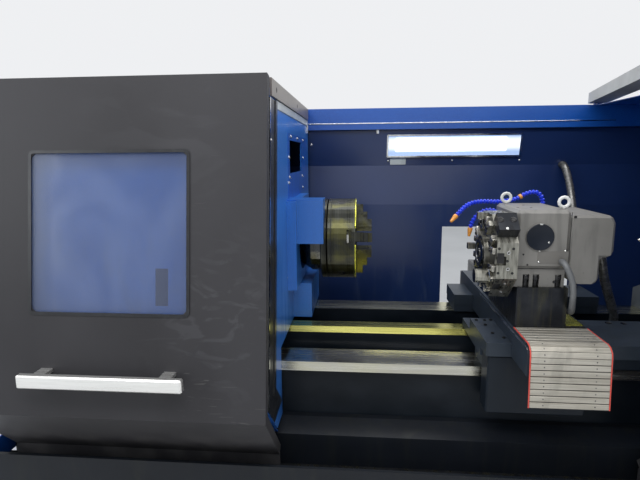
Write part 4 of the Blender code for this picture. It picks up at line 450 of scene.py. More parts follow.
def turned_steel(name, axis, dark, light, oil, gloss=(0.14, 0.34), film=0.7, fine=420.0):
    """Rings about a line along X that passes through axis, given as (Y, Z)."""
    made = finish(name, 0.25, 1.0)
    shift = add("VectorMath", {0: coords(), 1: (0.0, axis[0], axis[1])}, operation="SUBTRACT")
    parts = add("SeparateXYZ", {"Vector": shift.outputs[0]})
    across = times(parts.outputs[1], parts.outputs[1])
    up = times(parts.outputs[2], parts.outputs[2])
    radius = maths("SQRT", maths("ADD", across, up))
    place = add("CombineXYZ", {"X": parts.outputs[0], "Y": radius, "Z": 0.0}).outputs[0]
    rings = noise(fine, place=place, detail=3.0)
    broad = noise(fine / 12, place=place, detail=4.0)
    height = maths("ADD", times(rings, 0.6), times(broad, 0.6))
    colour = mix(ease(height, 0.40, 0.85), dark, light)
    wet = ease(noise(9.0, detail=5.0, warp=0.8), 0.42, 0.66)
    colour = over(colour, wet, film, oil)
    rough = ease(height, 0.35, 0.85, *gloss)
    feed(Base_Color=colour, Roughness=rough, Normal=bump(height, 0.16, 0.0004))
    return made


chuck_steel = turned_steel("oiled_chuck_steel", AXIS, (0.019, 0.020, 0.018), (0.068, 0.070, 0.062),
                           (0.120, 0.114, 0.030), gloss=(0.22, 0.44), film=0.45)
dress(chuck_steel, "chuck_backplate", "chuck_body", "chuck_jaw_1", "chuck_jaw_2", "chuck_jaw_3")
bright = turned_steel("bright_turned_steel", AXIS, (0.55, 0.55, 0.54), (0.75, 0.75, 0.74),
                      (0.62, 0.58, 0.40), film=0.3)
dress(bright, "scroll_plate", "tailstock_quill", "live_centre", "z_ball_screw", "x_ball_screw")
dark_steel = turned_steel("dark_turned_steel", AXIS, (0.045, 0.047, 0.050), (0.110, 0.112, 0.115),
                          (0.070, 0.066, 0.040))
dress(dark_steel, "spindle_shaft", "key_pinion_1", "key_pinion_2", "key_pinion_3")

# %% [markdown]
# ## Blackened steel
# The turret's block and the servo motors are blackened and always wet with oil. Vertical streaks
# of an olive tint run down them where coolant leaves.

# %% Blackened steel
def black_steel(name, streak=(1.0, 1.0, 0.10), tint=(0.085, 0.080, 0.045), amount=0.6):
    made = finish(name, 0.30, 0.75, Specular_IOR_Level=0.6)
    runs = ease(noise(34.0, streak, 6.0, 0.4), 0.42, 0.70)
    tone = ease(noise(12.0, detail=5.0), 0.30, 0.70)
    colour = mix(tone, (0.012, 0.014, 0.019), (0.034, 0.037, 0.044))
    colour = over(colour, runs, amount, tint)
    rough = ease(runs, 0.0, 1.0, 0.36, 0.20)
    height = maths("ADD", noise(300.0), times(runs, 0.5))
    feed(Base_Color=colour, Roughness=rough, Normal=bump(height, 0.12, 0.0005))
    return made


block_steel = black_steel("blackened_steel")
dress(block_steel, "turret_block", "x_servo_motor", "z_servo_motor", "lower_door_rail")
dress(black_steel("turret_black", (1.0, 0.4, 0.4), (0.040, 0.041, 0.042), 0.5), "tool_block")

# %% [markdown]
# ## Turret disc finish
# The disc's two faces are blackened, while its flats are left as bare brushed steel. The direction
# that a face looks in picks between the two.

# %% Turret disc finish
made = finish("disc_steel", 0.30, 0.9)
face = ease(maths("ABSOLUTE", facing("X")), 0.55, 0.75)
brushed = noise(120.0, (1.0, 0.15, 0.15), 5.0)
rim = mix(ease(brushed, 0.35, 0.75), (0.26, 0.255, 0.22), (0.42, 0.41, 0.36))
dark = mix(noise(14.0, detail=5.0), (0.020, 0.021, 0.024), (0.060, 0.062, 0.060))
feed(Base_Color=mix(face, rim, dark))
feed(Roughness=ease(brushed, 0.3, 0.8, 0.26, 0.42), Normal=bump(brushed, 0.10, 0.0004))
dress(made, "turret_disc")

# %% [markdown]
# ## Plastics, rubber, glass and the lamp
# These are the small finishes: plastic and rubber with the fine grain of a mould, the clear pane
# of the doors with its smeared oil mist, and the milky lens of the work lamp. The brushed metal
# of the handles and the slats follows.

# %% Plastics and rubber
def moulded(name, colour, gloss=0.36, grain=700.0, relief=0.10):
    made = finish(name, gloss)
    tone = ease(noise(30.0), 0.3, 0.7)
    shade = mix(tone, tuple(c * 0.86 for c in colour), tuple(min(c * 1.10, 1.0) for c in colour))
    film = ease(noise(60.0, detail=5.0, warp=0.6), 0.56, 0.70)
    shade = over(shade, film, 0.25, (0.05, 0.05, 0.045))
    feed(Base_Color=shade, Normal=bump(noise(grain), relief, 0.0003))
    feed(Roughness=ease(tone, 0.0, 1.0, gloss - 0.06, gloss + 0.06))
    return made


hose_blue = moulded("hose_blue", (0.012, 0.045, 0.720), 0.28)
hose_orange = moulded("hose_orange", (0.800, 0.330, 0.060), 0.30)
sheath_grey = moulded("sheath_grey", (0.160, 0.165, 0.170), 0.45)
black_plastic = moulded("black_plastic", (0.022, 0.022, 0.024), 0.40)
dress(hose_blue, "coolant_hose_long", "coolant_hose_short")
dress(sheath_grey, "front_conduit", "rear_conduit", "overhead_conduit")
dress(black_plastic, "tail_handwheel", "override_knob", "pulse_handwheel")
dress(moulded("belt_black", (0.020, 0.020, 0.020), 0.62, 200.0, 0.4), "drive_belt")
dress(moulded("stop_red", (0.560, 0.020, 0.015), 0.30), "emergency_stop")
dress(moulded("start_green", (0.020, 0.330, 0.070), 0.32), "start_button")

# %% Glass and lamp
made = finish("oily_window", 0.06, Alpha=0.30, Specular_IOR_Level=0.6)
mist = ease(noise(3.0, (1.0, 1.0, 0.6), 6.0, 0.6), 0.30, 0.75)
feed(Base_Color=mix(mist, (0.13, 0.16, 0.27), (0.25, 0.29, 0.40)))
feed(Roughness=ease(mist, 0.0, 1.0, 0.05, 0.22))
dress(made, "left_door_window", "right_door_window")

LENS_Z = 1.665
made = finish("milky_lens", 0.22, Emission_Strength=0.9)
glow = ease(maths("ABSOLUTE", maths("SUBTRACT", along("Z"), LENS_Z)), 0.055, 0.010)
feed(Base_Color=mix(noise(90.0), (0.60, 0.68, 0.80), (0.70, 0.78, 0.88)))
feed(Emission_Color=mix(glow, (0.10, 0.22, 0.50), (0.95, 0.98, 1.0)))
dress(made, "lamp_lens")

# %% Handle metal and slats
made = finish("satin_handle", 0.30, 0.85)
brushed = ground_lines((0.04, 1.0, 1.0), 160.0)
feed(Base_Color=mix(ease(brushed, 0.4, 0.8), (0.80, 0.79, 0.76), (0.94, 0.93, 0.90)))
feed(Roughness=ease(brushed, 0.3, 0.9, 0.22, 0.38), Normal=bump(brushed, 0.10, 0.0004))
dress(made, "left_door_handle", "right_door_handle")

made = finish("anodised_slats", 0.34, 0.55)
brushed = ground_lines((0.05, 1.0, 1.0), 140.0)
grime = ease(noise(14.0, (1.0, 1.0, 0.4), 6.0, 0.5), 0.50, 0.78)
shade = mix(ease(brushed, 0.4, 0.8), (0.40, 0.37, 0.31), (0.56, 0.53, 0.46))
feed(Base_Color=over(shade, grime, 0.45, (0.12, 0.11, 0.09)))
feed(Roughness=ease(brushed, 0.3, 0.9, 0.26, 0.44), Normal=bump(brushed, 0.10, 0.0004))
slat_metal = made
dress(slat_metal, "slat_curtain")

# %% [markdown]
# ## Modelling helpers
# The small pieces start as a plane or a circle, which edit mode then extrudes, insets and bevels
# into shape. Each is made lying on Z = 0 with its front up, and is then laid against a face of
# the machine. A piece that repeats is made once and copied, and each copy has its own mesh.

# %% Start, push and close a piece
def start(kind, **values):
    bpy.ops.object.select_all(action="DESELECT")
    getattr(bpy.ops.mesh, f"primitive_{kind}_add")(**values)
    bpy.ops.object.mode_set(mode="EDIT")
    bpy.ops.mesh.select_all(action="SELECT")


def push(x=0.0, y=0.0, z=0.0):
    bpy.ops.mesh.extrude_region_move(TRANSFORM_OT_translate={"value": (x, y, z)})


def close_up(soft=35):
    bpy.ops.mesh.select_all(action="SELECT")
    bpy.ops.mesh.remove_doubles(threshold=0.000005)
    bpy.ops.mesh.normals_make_consistent(inside=False)
    bpy.ops.object.mode_set(mode="OBJECT")
    bpy.ops.object.shade_smooth_by_angle(angle=math.radians(soft))
    return bpy.context.object


def turned(rings, sides=24):
    """A turned piece: its rings are (height, radius), from the seat up."""
    low, radius = rings[0]
    start("circle", fill_type="NGON", vertices=sides, radius=radius)
    bpy.ops.transform.translate(value=(0, 0, low))
    for height, size in rings[1:]:
        push(z=height - low)
        share = size / radius
        bpy.ops.transform.resize(value=(share, share, 1), center_override=(0, 0, height))
        low, radius = height, size
    return close_up()


def flat_start(width, height, corner):
    start("plane", size=1)
    bpy.ops.transform.resize(value=(width, height, 1), center_override=(0, 0, 0))
    if corner:
        bpy.ops.mesh.bevel(offset=corner, segments=4, affect="VERTICES")
        bpy.ops.mesh.select_all(action="SELECT")


def plate(width, height, thick, corner=0.0, edge=0.0):
    """A plate with rounded corners, and its front edge broken."""
    flat_start(width, height, corner)
    push(z=thick - edge)
    if edge:
        bpy.ops.mesh.inset(thickness=edge, depth=edge)
    return close_up()


def raise_rest(thick):
    """Take the chosen face away and give what is left its thickness."""
    bpy.ops.mesh.delete(type="FACE")
    bpy.ops.mesh.select_all(action="SELECT")
    push(z=thick)
    return close_up()


def open_frame(width, height, border, thick, corner=0.0):
    """A flat frame, open in the middle."""
    flat_start(width, height, corner)
    bpy.ops.mesh.inset(thickness=border)
    return raise_rest(thick)


def pierced(width, height, thick, hole, shift, margin=0.001):
    """A plate with one window; the inset face is scaled to the window and moved to its place."""
    flat_start(width, height, 0.0)
    bpy.ops.mesh.inset(thickness=margin)
    share = (hole[0] / (width - 2 * margin), hole[1] / (height - 2 * margin), 1)
    bpy.ops.transform.resize(value=share, center_override=(0, 0, 0))
    bpy.ops.transform.translate(value=(*shift, 0))
    return raise_rest(thick)


print("shapes:", ", ".join(f.__name__ for f in (turned, plate, open_frame, pierced)))

# %% Place a piece, and repeat it
made_pieces = []


def at(place, face=(0, 0, 1)):
    """The turn and move that lay a piece against a face."""
    face = Vector(face)
    flat = face.x == 0 and face.y == 0
    turn = Matrix.Identity(4) if flat else face.to_track_quat("Z", "Y").to_matrix().to_4x4()
    return Matrix.Translation(place) @ turn


def axes(place, x, y, z):
    """The turn and move that put a piece's own X, Y and Z along three directions."""
    return Matrix.Translation(place) @ Matrix((x, y, z)).transposed().to_4x4()


def outward(angle):
    """The direction out from an axis along X, and the one that goes on round it."""
    out = Vector((0, math.cos(angle), math.sin(angle)))
    return out, Vector((0, -math.sin(angle), math.cos(angle)))


def put(piece, name, body, material, matrix=None):
    if matrix is not None:
        piece.data.transform(matrix)
    piece.name = piece.data.name = name
    piece.data.materials.clear()
    piece.data.materials.append(material)
    made_pieces.append(piece)
    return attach(piece, body)


def only(*pieces):
    """Select these pieces and nothing else, the first one active."""
    bpy.ops.object.select_all(action="DESELECT")
    for piece in pieces:
        piece.select_set(True)
    bpy.context.view_layer.objects.active = pieces[0]


def copies(piece, places):
    twins = []
    for matrix in places:
        twin = piece.copy()
        twin.data = piece.data.copy()
        bpy.context.scene.collection.objects.link(twin)
        twin.data.transform(matrix)
        twins.append(twin)
    bpy.data.objects.remove(piece)
    return twins


def joined(piece, places):
    """Copies of a piece that are joined into one."""
    twins = copies(piece, places)
    only(*twins)
    bpy.ops.object.join()
    return twins[0]


def row(piece, name, body, material, places):
    return put(joined(piece, places), name, body, material)


def repeat(piece, name, body, material, places):
    for i, twin in enumerate(copies(piece, places)):
        put(twin, f"{name}_{i + 1}", body, material)


def tally(words):
    print(words, "done,", len(made_pieces), "pieces so far")


tally("placing helpers")

# %% [markdown]
# ## Small metal finishes
# Zinc-plated screws, blackened bolts and polished trims share one recipe: a metal whose tone
# wanders a little, under an uneven film of oil.

# %% Small metals
def small_metal(name, dark, light, gloss, shine=1.0):
    made = finish(name, gloss, shine)
    tone = ease(noise(70.0, detail=5.0), 0.30, 0.72)
    film = ease(noise(24.0, detail=4.0, warp=0.6), 0.35, 0.70)
    feed(Base_Color=mix(tone, dark, light))
    feed(Roughness=ease(film, 0.0, 1.0, gloss * 0.7, gloss * 1.3))
    feed(Normal=bump(noise(500.0), 0.08, 0.0003))
    return made


zinc = small_metal("zinc_screw", (0.55, 0.55, 0.53), (0.82, 0.82, 0.80), 0.24)
black_bolt = small_metal("black_bolt", (0.012, 0.012, 0.013), (0.040, 0.040, 0.042), 0.30, 0.6)
polished = small_metal("polished_trim", (0.62, 0.63, 0.64), (0.86, 0.87, 0.88), 0.16)
satin_steel = small_metal("satin_disc_steel", (0.42, 0.40, 0.35), (0.60, 0.58, 0.52), 0.30)
hole_black = small_metal("hole_black", (0.004, 0.004, 0.005), (0.010, 0.010, 0.011), 0.55, 0.0)
oily_yellow = small_metal("oily_yellow", (0.52, 0.50, 0.05), (0.74, 0.72, 0.12), 0.20, 0.7)
red_seal = moulded("coral_seal", (0.720, 0.085, 0.060), 0.45)
blue_smooth = grey_paint("blue_smooth", (0.010, 0.090, 0.420), 0.30, 0.15, 300.0, 0.06,
                         (0.02, 0.05, 0.12))
wall_black = moulded("wall_black", (0.012, 0.013, 0.016), 0.34)
strip_pale = grey_paint("strip_pale", (0.500, 0.540, 0.540), 0.36, 0.20, 90.0, 0.12,
                        (0.20, 0.22, 0.22))
# The roof fascia's grey paint is tinted warm brown as a painted reflection of the beige workshop
# wall.
fascia_grey_warm_reflection = grey_paint("fascia_grey_warm_reflection", (0.160, 0.135, 0.115), 0.34, 0.12, 260.0, 0.10,
                          (0.08, 0.07, 0.06))
housing_plate = grey_paint("housing_plate", (0.150, 0.142, 0.130), 0.34, 0.10, 120.0, 0.06)
steel_sheath = small_metal("steel_sheath", (0.12, 0.12, 0.115), (0.24, 0.235, 0.225), 0.34, 0.6)
cover_black = grey_paint("cover_black", (0.006, 0.009, 0.016), 0.34, 0.05, 300.0, 0.05, shine=0.30)
print("finishes:", len(bpy.data.materials))

# %% [markdown]
# ## Screws
# A socket-head screw is a turned cap with a broken edge and a deep socket. A button head is
# lower and domed. Both are drawn for a radius of 1, so a size is one multiplication.

# %% Screw heads
def socket_screw(radius, height):
    rings = [(0, 1.0), (0.86, 1.0), (1.0, 0.88), (1.0, 0.56), (0.45, 0.52)]
    return turned([(z * height, r * radius) for z, r in rings], 16)


def button_screw(radius):
    rings = [(0, 1.0), (0.16, 1.0), (0.42, 0.80), (0.54, 0.46), (0.54, 0.40), (0.25, 0.36)]
    return turned([(z * radius, r * radius) for z, r in rings], 14)


def ringed_hole(radius):
    """A counterbore seen from outside: a low rim round a dark floor."""
    rings = [(0, 1.0), (0.0006, 1.0), (0.0006, 0.72), (0.0002, 0.66)]
    return turned([(z, r * radius) for z, r in rings], 18)


WALL_SCREW = 0.0085
print("screw radius on the walls:", WALL_SCREW, "m")

# %% [markdown]
# ## Headstock wall
# The wall inside the guard carries a smooth plate round the port and screws in rows. It also has a
# black strip where the door closes, with a polished line along its front edge as a painted
# highlight. Under the roof is a folded band, whose warm brown tint is a painted reflection of the
# beige wall on its grey paint. The screws stand on the sheet's face.

# %% Wall details
WALL_X = -0.644
COLLAR_X = WALL_X + 0.044
PORT_SHEET = 0.0015
SEAL_THICK = 0.004
FASCIA_THICK, FASCIA_Z = 0.010, 1.848
wall = (1, 0, 0)


def on_wall(piece, name, material, y, z, off=0.0):
    put(piece, name, "machine", material, at((WALL_X + off, y, z), wall))


def wall_spots(places, off=0.0):
    return [at((WALL_X + off, y, z), wall) for y, z in places]


sheet = pierced(0.780, 0.310, PORT_SHEET, (0.446, 0.156), (-0.115, 0.045))
on_wall(sheet, "port_panel", blue_smooth, 0.190, 1.545)
port_screws = [(-0.106, 1.686), (0.123, 1.684), (0.367, 1.683), (-0.177, 1.587), (0.375, 1.584),
               (-0.166, 1.493), (0.330, 1.482), (-0.192, 1.468), (0.349, 1.415)]
edge_screws = [(-0.232, 1.324), (-0.269, 1.030)]
row(button_screw(WALL_SCREW), "port_screws", "machine", zinc, wall_spots(port_screws, PORT_SHEET))
spots = wall_spots(edge_screws) + [at((COLLAR_X, -0.169, 1.350), wall)]
row(button_screw(WALL_SCREW), "wall_screws", "machine", zinc, spots)


def wall_strip(name, line, width, material, off=0.0):
    """A strip along a falling line of (Y, Z) on the wall, with its width towards the back."""
    start("plane", size=width)
    bpy.ops.transform.translate(value=(width / 2, 0, 0))
    bpy.ops.transform.resize(value=(1, 0, 1), center_override=(0, 0, 0))
    bpy.ops.mesh.remove_doubles(threshold=0.0001)
    bpy.ops.mesh.select_all(action="SELECT")
    for (y, z), (next_y, next_z) in zip(line, line[1:]):
        push(x=next_y - y, y=next_z - z)
    bpy.ops.mesh.select_all(action="SELECT")
    push(z=SEAL_THICK)
    on_wall(close_up(), name, material, *line[0], off)


seal_line = [(-0.650, 1.808), (-0.829, 0.662), (-0.700, 0.541)]
wall_strip("door_seal_strip", seal_line, 0.176, wall_black)
# The polished line along the wall's front edge is a painted highlight on that edge.
for name, shift, width, material in (("door_seal_highlight", 0.002, 0.012, polished),
                                     ("door_seal_ridge", 0.116, 0.006, wall_black)):
    wall_strip(name, [(y + shift, z) for y, z in seal_line[:2]], width, material, SEAL_THICK)
on_wall(button_screw(WALL_SCREW), "seal_screw", zinc, -0.643, 1.651, SEAL_THICK)
fascia = plate(1.230, 0.066, FASCIA_THICK, 0.0, 0.001)
on_wall(fascia, "roof_fascia", fascia_grey_warm_reflection, -0.008, FASCIA_Z)
on_wall(plate(1.098, 0.034, 0.004, 0.0, 0.001), "roof_rail", strip_pale, 0.071, 1.797)
spots = wall_spots([(y, FASCIA_Z) for y in (-0.522, 0.090)], FASCIA_THICK)
repeat(ringed_hole(0.010), "fascia_hole", "machine", hole_black, spots)
on_wall(plate(0.022, 0.050, 0.010, 0.003, 0.002), "wall_latch", zinc, 0.590, 1.756)
tally("headstock wall")

# %% [markdown]
# ## Rear guard
# A narrow polished strip along the beam's folded edge is a painted highlight on that edge. The lamp
# sits in a slim frame with a bright tube behind its lens. A small bare plate is screwed on below
# it.

# %% Rear guard details
def middle_of(box):
    """The middle and the size of a box."""
    low, high = box
    return [(a + b) / 2 for a, b in zip(low, high)], [b - a for a, b in zip(low, high)]


lens, lens_size = middle_of(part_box("lamp_lens"))
PANEL_LEAN = (0, -0.984, -0.179)
PANEL_SCREW_Z = 1.560
LENS_STEP = 0.0070


PANEL_TOP = (0.685, 1.750)
PANEL_SLOPE = 0.040 / 0.220


def on_panel(x, z):
    """A place on the leaning lamp panel, which goes back as it goes down."""
    return at((x, PANEL_TOP[0] + (PANEL_TOP[1] - z) * PANEL_SLOPE, z), PANEL_LEAN)


front = (0, -1, 0)
# The polished strip along the beam is a painted highlight on the beam's folded edge.
fold = plate(1.860, 0.006, 0.003, 0.0, 0.001)
put(fold, "beam_edge_highlight", "machine", polished, at((0.290, 0.655, 1.794), front))
rim = open_frame(lens_size[0] + 0.012, lens_size[2] + 0.012, 0.010, 0.004, 0.004)
put(rim, "lamp_rim", "machine", polished, at((lens[0], lens[1] - LENS_STEP, lens[2]), PANEL_LEAN))
spots = [on_panel(x, PANEL_SCREW_Z) for x in (-0.130, 0.276, 0.693)]
row(button_screw(0.0065), "panel_screws", "machine", zinc, spots)
made = finish("lamp_tube", 0.30, Emission_Strength=1.6)
patches = ease(noise(9.0, (1.0, 1.0, 1.6), 3.0), 0.40, 0.62)
feed(Emission_Color=mix(patches, (0.72, 0.86, 1.0), (0.98, 1.0, 1.0)))
feed(Base_Color=mix(noise(60.0), (0.80, 0.84, 0.90), (0.90, 0.93, 0.96)))
tube_place = (0.2575, lens[1] - LENS_STEP - 0.0010, 1.660)
put(plate(0.689, 0.086, 0.006, 0.010, 0.004), "lamp_tube", "machine", made,
    at(tube_place, PANEL_LEAN))
bare = plate(0.100, 0.040, 0.0015, 0.002, 0.0005)
put(bare, "rear_bare_plate", "machine", strip_pale, on_panel(-0.0680, 1.556))
put(button_screw(WALL_SCREW), "corner_screw", "machine", zinc, on_panel(-0.627, 1.667))
hook = plate(0.018, 0.026, 0.010, 0.003, 0.002)
put(hook, "beam_hook", "machine", polished, at((-0.201, 0.686, 1.744), PANEL_LEAN))
tally("rear guard")

# %% [markdown]
# ## Chuck
# Between the scroll chuck and its backplate lies a dark groove. The jaws slide in T-shaped slots,
# and their top steps are serrated. The rings and teeth are thin pieces that ride on the spindle
# or on their own jaw, so they turn and slide with it. The bright ring is open where a jaw slides
# out.

# %% Chuck details
CHUCK_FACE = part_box("chuck_body")[1][0]
CHUCK_R = 0.203
RING_HEIGHT = 0.0004
JAW_TILT = math.radians(11)
TEETH = 4
jaw_angles = [math.pi - JAW_TILT + math.tau * i / 3 for i in range(3)]


def ring_band(name, material, x, width, breaks=(), reach=0.20):
    """A ring round the chuck: a circle extruded along X and outward, open at the breaks."""
    start("circle", vertices=96, radius=CHUCK_R + 0.0001)
    push(z=width)
    bpy.ops.object.mode_set(mode="OBJECT")
    for face in bpy.context.object.data.polygons:
        turn = math.atan2(face.center.y, face.center.x)
        face.select = any(math.cos(turn - angle) > math.cos(reach) for angle in breaks)
    bpy.ops.object.mode_set(mode="EDIT")
    if breaks:
        bpy.ops.mesh.select_mode(type="FACE")
        bpy.ops.mesh.delete(type="FACE")
        bpy.ops.mesh.select_mode(type="VERT")
    piece = close_up()
    thicken = piece.modifiers.new("wall", "SOLIDIFY")
    thicken.thickness = RING_HEIGHT
    thicken.offset = 1.0
    bpy.ops.object.modifier_apply(modifier="wall")
    put(piece, name, "spindle", material, at((x, 0, SPINDLE_Z), (1, 0, 0)))


ring_band("chuck_groove", hole_black, -0.4485, 0.0030)
ring_band("chuck_bright_edge", oily_yellow, CHUCK_FACE - 0.0085, 0.0080, jaw_angles)
tally("chuck rings")

for i, angle in enumerate(jaw_angles):
    out, side = outward(angle)
    turn = axes((0, 0, SPINDLE_Z), side, out, (1, 0, 0))
    teeth = []
    for low, high, step in ((0.154, 0.194, 0.032), (0.107, 0.146, 0.054)):
        for n in range(TEETH):
            r = low + (high - low) * n / (TEETH - 1)
            teeth.append(turn @ Matrix.Translation((0, r, CHUCK_FACE + step)))
    tooth = plate(0.047, 0.0045, 0.0022, 0.0, 0.0012)
    row(tooth, f"jaw_{i + 1}_teeth", f"chuck_jaw_{i + 1}", dark_steel, teeth)
rims = []
for i in range(3):
    angle = math.pi - JAW_TILT + math.pi / 3 + math.tau * i / 3
    out = (0, math.cos(angle), math.sin(angle))
    seat = CHUCK_R - 0.0015
    rims.append(at((CHUCK_FACE - 0.0735, seat * out[1], SPINDLE_Z + seat * out[2]), out))
key_rim = [(0, 0.0215), (0.0010, 0.0215), (0.0016, 0.0195), (0.0010, 0.0150), (-0.0010, 0.0140)]
repeat(turned(key_rim, 28), "key_hole_rims", "spindle", black_bolt, rims)
tally("chuck")

# %% [markdown]
# ## Turret disc
# The disc carries eight tool stations. Each flat has a pattern of tapped holes, a notch and two
# bright bushes where coolant passes. On the front two clamp wedges with their screws hold each
# tool. One station is modelled and then turned about the disc's axis.

# %% Turret disc details
DISC = Vector((0.205, -0.485, 1.200))
STATIONS = 8
BLOCK_STATION = 3
BLOCK_FRONT = 0.045
BORE_X = (0.2175, 0.2642)
HUB_SEAT = 0.022
WEDGE_OUT, WEDGE_SIDE, WEDGE_THICK = 0.122, 0.034, 0.014
FLAT = 0.178 * math.cos(math.pi / STATIONS)


def station(i, x, along_flat, lift=0.0):
    """A place on one flat of the disc, with the piece's front looking outward."""
    out, side = outward(math.tau * i / STATIONS)
    place = Vector((x, DISC.y, DISC.z)) + out * (FLAT + lift) + side * along_flat
    return axes(place, (1, 0, 0), -side, out)


def on_flats(piece, name, material, places):
    """A pattern of (X, place along the flat), laid on each flat without the block."""
    free = [i for i in range(STATIONS) if i != BLOCK_STATION]
    row(piece, name, "turret_disc", material, [station(i, x, a) for i in free for x, a in places])


corners = [(x, a) for x in (0.2125, 0.2642) for a in (-0.0465, 0.0465)]
on_flats(ringed_hole(0.0052), "disc_holes", hole_black, corners + [(0.2442, 0.0)])
bush = [(0, 0.0060), (0.0010, 0.0060), (0.0013, 0.0054), (0.0013, 0.0040), (-0.0006, 0.0036)]
on_flats(turned(bush, 20), "disc_bushes", polished, [(0.2475, a) for a in (-0.031, 0.031)])
on_flats(plate(0.026, 0.040, 0.0006, 0.001), "disc_notches", hole_black, [(0.2190, -0.010)])
wedge_spots, screw_spots = [], []
for i in range(STATIONS):
    out, side = outward(math.tau * i / STATIONS)
    for shift in (-WEDGE_SIDE, WEDGE_SIDE):
        place = DISC + out * WEDGE_OUT + side * shift
        wedge_spots.append(axes(place, out, side, (-1, 0, 0)))
        screw_spots.append(axes(place + Vector((-WEDGE_THICK, 0, 0)), out, side, (-1, 0, 0)))
wedge = plate(0.060, 0.024, WEDGE_THICK, 0.002, 0.0025)
row(wedge, "clamp_wedges", "turret_disc", satin_steel, wedge_spots)
row(socket_screw(0.0075, 0.005), "wedge_screws", "turret_disc", black_bolt, screw_spots)
hub = [(0, 0.058), (0.004, 0.058), (0.007, 0.054), (0.007, 0.040), (0.003, 0.038), (0.003, 0.020),
       (0.008, 0.018), (0.010, 0.014)]
hub_place = at((DISC.x - HUB_SEAT, DISC.y, DISC.z), (-1, 0, 0))
put(turned(hub, 48), "disc_hub_cap", "turret_disc", dark_steel, hub_place)
for name, shape, lift, material in (
    ("block_counterbore", [(0, 0.0120), (0.0012, 0.0120), (0.0016, 0.0110), (0.0016, 0.0088),
                           (0.0004, 0.0080)], 0.0, black_bolt),
    ("block_bore", None, 0.0012, hole_black),
):
    piece = turned(shape, 24) if shape else ringed_hole(0.0078)
    spots = [station(BLOCK_STATION, x, -0.007, BLOCK_FRONT + lift) for x in BORE_X]
    repeat(piece, name, "turret_disc", material, spots)
screw_place = station(BLOCK_STATION, 0.236, 0.034, BLOCK_FRONT)
put(button_screw(0.0060), "block_screw", "turret_disc", zinc, screw_place)
tally("turret disc")

# %% [markdown]
# ## Turret housing
# The grey housing shows a round dark cover with one screw, a bare plate held by four bright
# screws, tapped holes along its edges, and the three black bolts that clamp it to its block.

# %% Housing details
HOUSING_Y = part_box("turret_housing")[0][1]
BODY_Y = -0.600
FLANGE_Y = -0.585
BOLT_Y = FLANGE_Y + 0.011
HOUSING_TOP = 1.385
HOUSING_SCREW = 0.0042


def on_housing(piece, name, material, x, y, z):
    put(piece, name, "cross_slide", material, at((x, y, z), front))


def on_slide(piece, name, material, places, face=(0, 0, 1)):
    repeat(piece, name, "cross_slide", material, [at(place, face) for place in places])


cover = [(0, 0.0505), (0.0030, 0.0505), (0.0042, 0.0490), (0.0042, 0.0470), (0.0036, 0.0460)]
on_housing(turned(cover, 64), "round_cover", cover_black, 0.373, HOUSING_Y + 0.0008, 1.284)
on_housing(button_screw(HOUSING_SCREW), "round_cover_screw", zinc, 0.405, HOUSING_Y - 0.0028, 1.264)
key = plate(0.012, 0.006, 0.004, 0.001, 0.001)
on_housing(key, "round_cover_key", zinc, 0.373, HOUSING_Y - 0.0024, 1.333)
bare = plate(0.113, 0.049, 0.0012, 0.002, 0.0004)
on_housing(bare, "bare_plate", housing_plate, 0.4262, BODY_Y, 1.2055)
spots = [(x, BODY_Y - 0.0010, z) for x in (0.375, 0.470) for z in (1.231, 1.187)]
on_slide(button_screw(HOUSING_SCREW), "bare_plate_screw", zinc, spots, front)
spots = [(0.317, BODY_Y, 1.216), (0.334, BODY_Y, 1.176)]
on_slide(ringed_hole(0.0036), "housing_hole", hole_black, spots, front)
spots = [(0.317, -0.500, HOUSING_TOP), (0.368, -0.500, HOUSING_TOP), (0.370, -0.400, HOUSING_TOP)]
on_slide(ringed_hole(0.0050), "housing_top_hole", hole_black, spots)
on_housing(plate(0.0022, 0.215, 0.0010), "housing_seam", hole_black, 0.4835, BODY_Y, 1.270)
on_housing(plate(0.186, 0.0022, 0.0008), "flange_seam", hole_black, 0.386, FLANGE_Y, 1.1575)
bolt_x = [0.292 + 0.188 * share for share in (0.24, 0.44, 0.88)]
spots = [(x, BOLT_Y, 1.1130) for x in bolt_x]
on_slide(socket_screw(0.0135, 0.017), "clamp_bolt", black_bolt, spots)
spots = [(x, BOLT_Y, 1.0860) for x in bolt_x]
on_slide(turned([(0, 0.0098), (0.0270, 0.0098)], 16), "clamp_shank", black_bolt, spots)
on_housing(ringed_hole(0.0062), "flange_hole", hole_black, 0.443, FLANGE_Y, 1.106)
on_housing(plate(0.010, 0.009, 0.0012, 0.001), "cover_notch", hole_black, 0.498, -0.5962, 1.360)
tally("turret housing")

# %% [markdown]
# ## Jointed coolant hoses
# A coolant hose of this kind is a row of plastic balls that snap into each other. One link is
# turned, and copies are laid along a smooth curve through the route's points. The solid tube
# stays under them for contact only.

# %% A smooth route
def smooth(route, step):
    """Points at an even step along a curve through the route's points."""
    points = [Vector(p) for p in route]
    ends = [points[0] * 2 - points[1]] + points + [points[-1] * 2 - points[-2]]
    fine = []
    for a, b, c, d in zip(ends, ends[1:], ends[2:], ends[3:]):
        for i in range(24):
            t = i / 24
            fine.append(0.5 * (2 * b + (c - a) * t + (2 * a - 5 * b + 4 * c - d) * t * t
                               + (3 * b - a - 3 * c + d) * t * t * t))
    fine.append(points[-1])
    laid, left = [fine[0]], step
    for a, b in zip(fine, fine[1:]):
        gap = (b - a).length
        while gap >= left:
            a = a + (b - a) * (left / gap)
            laid.append(a)
            gap, left = (b - a).length, step
        left -= gap
    return laid


def towards(place, target):
    turn = (target - place).to_track_quat("Z", "Y").to_matrix().to_4x4()
    return Matrix.Translation(place) @ turn


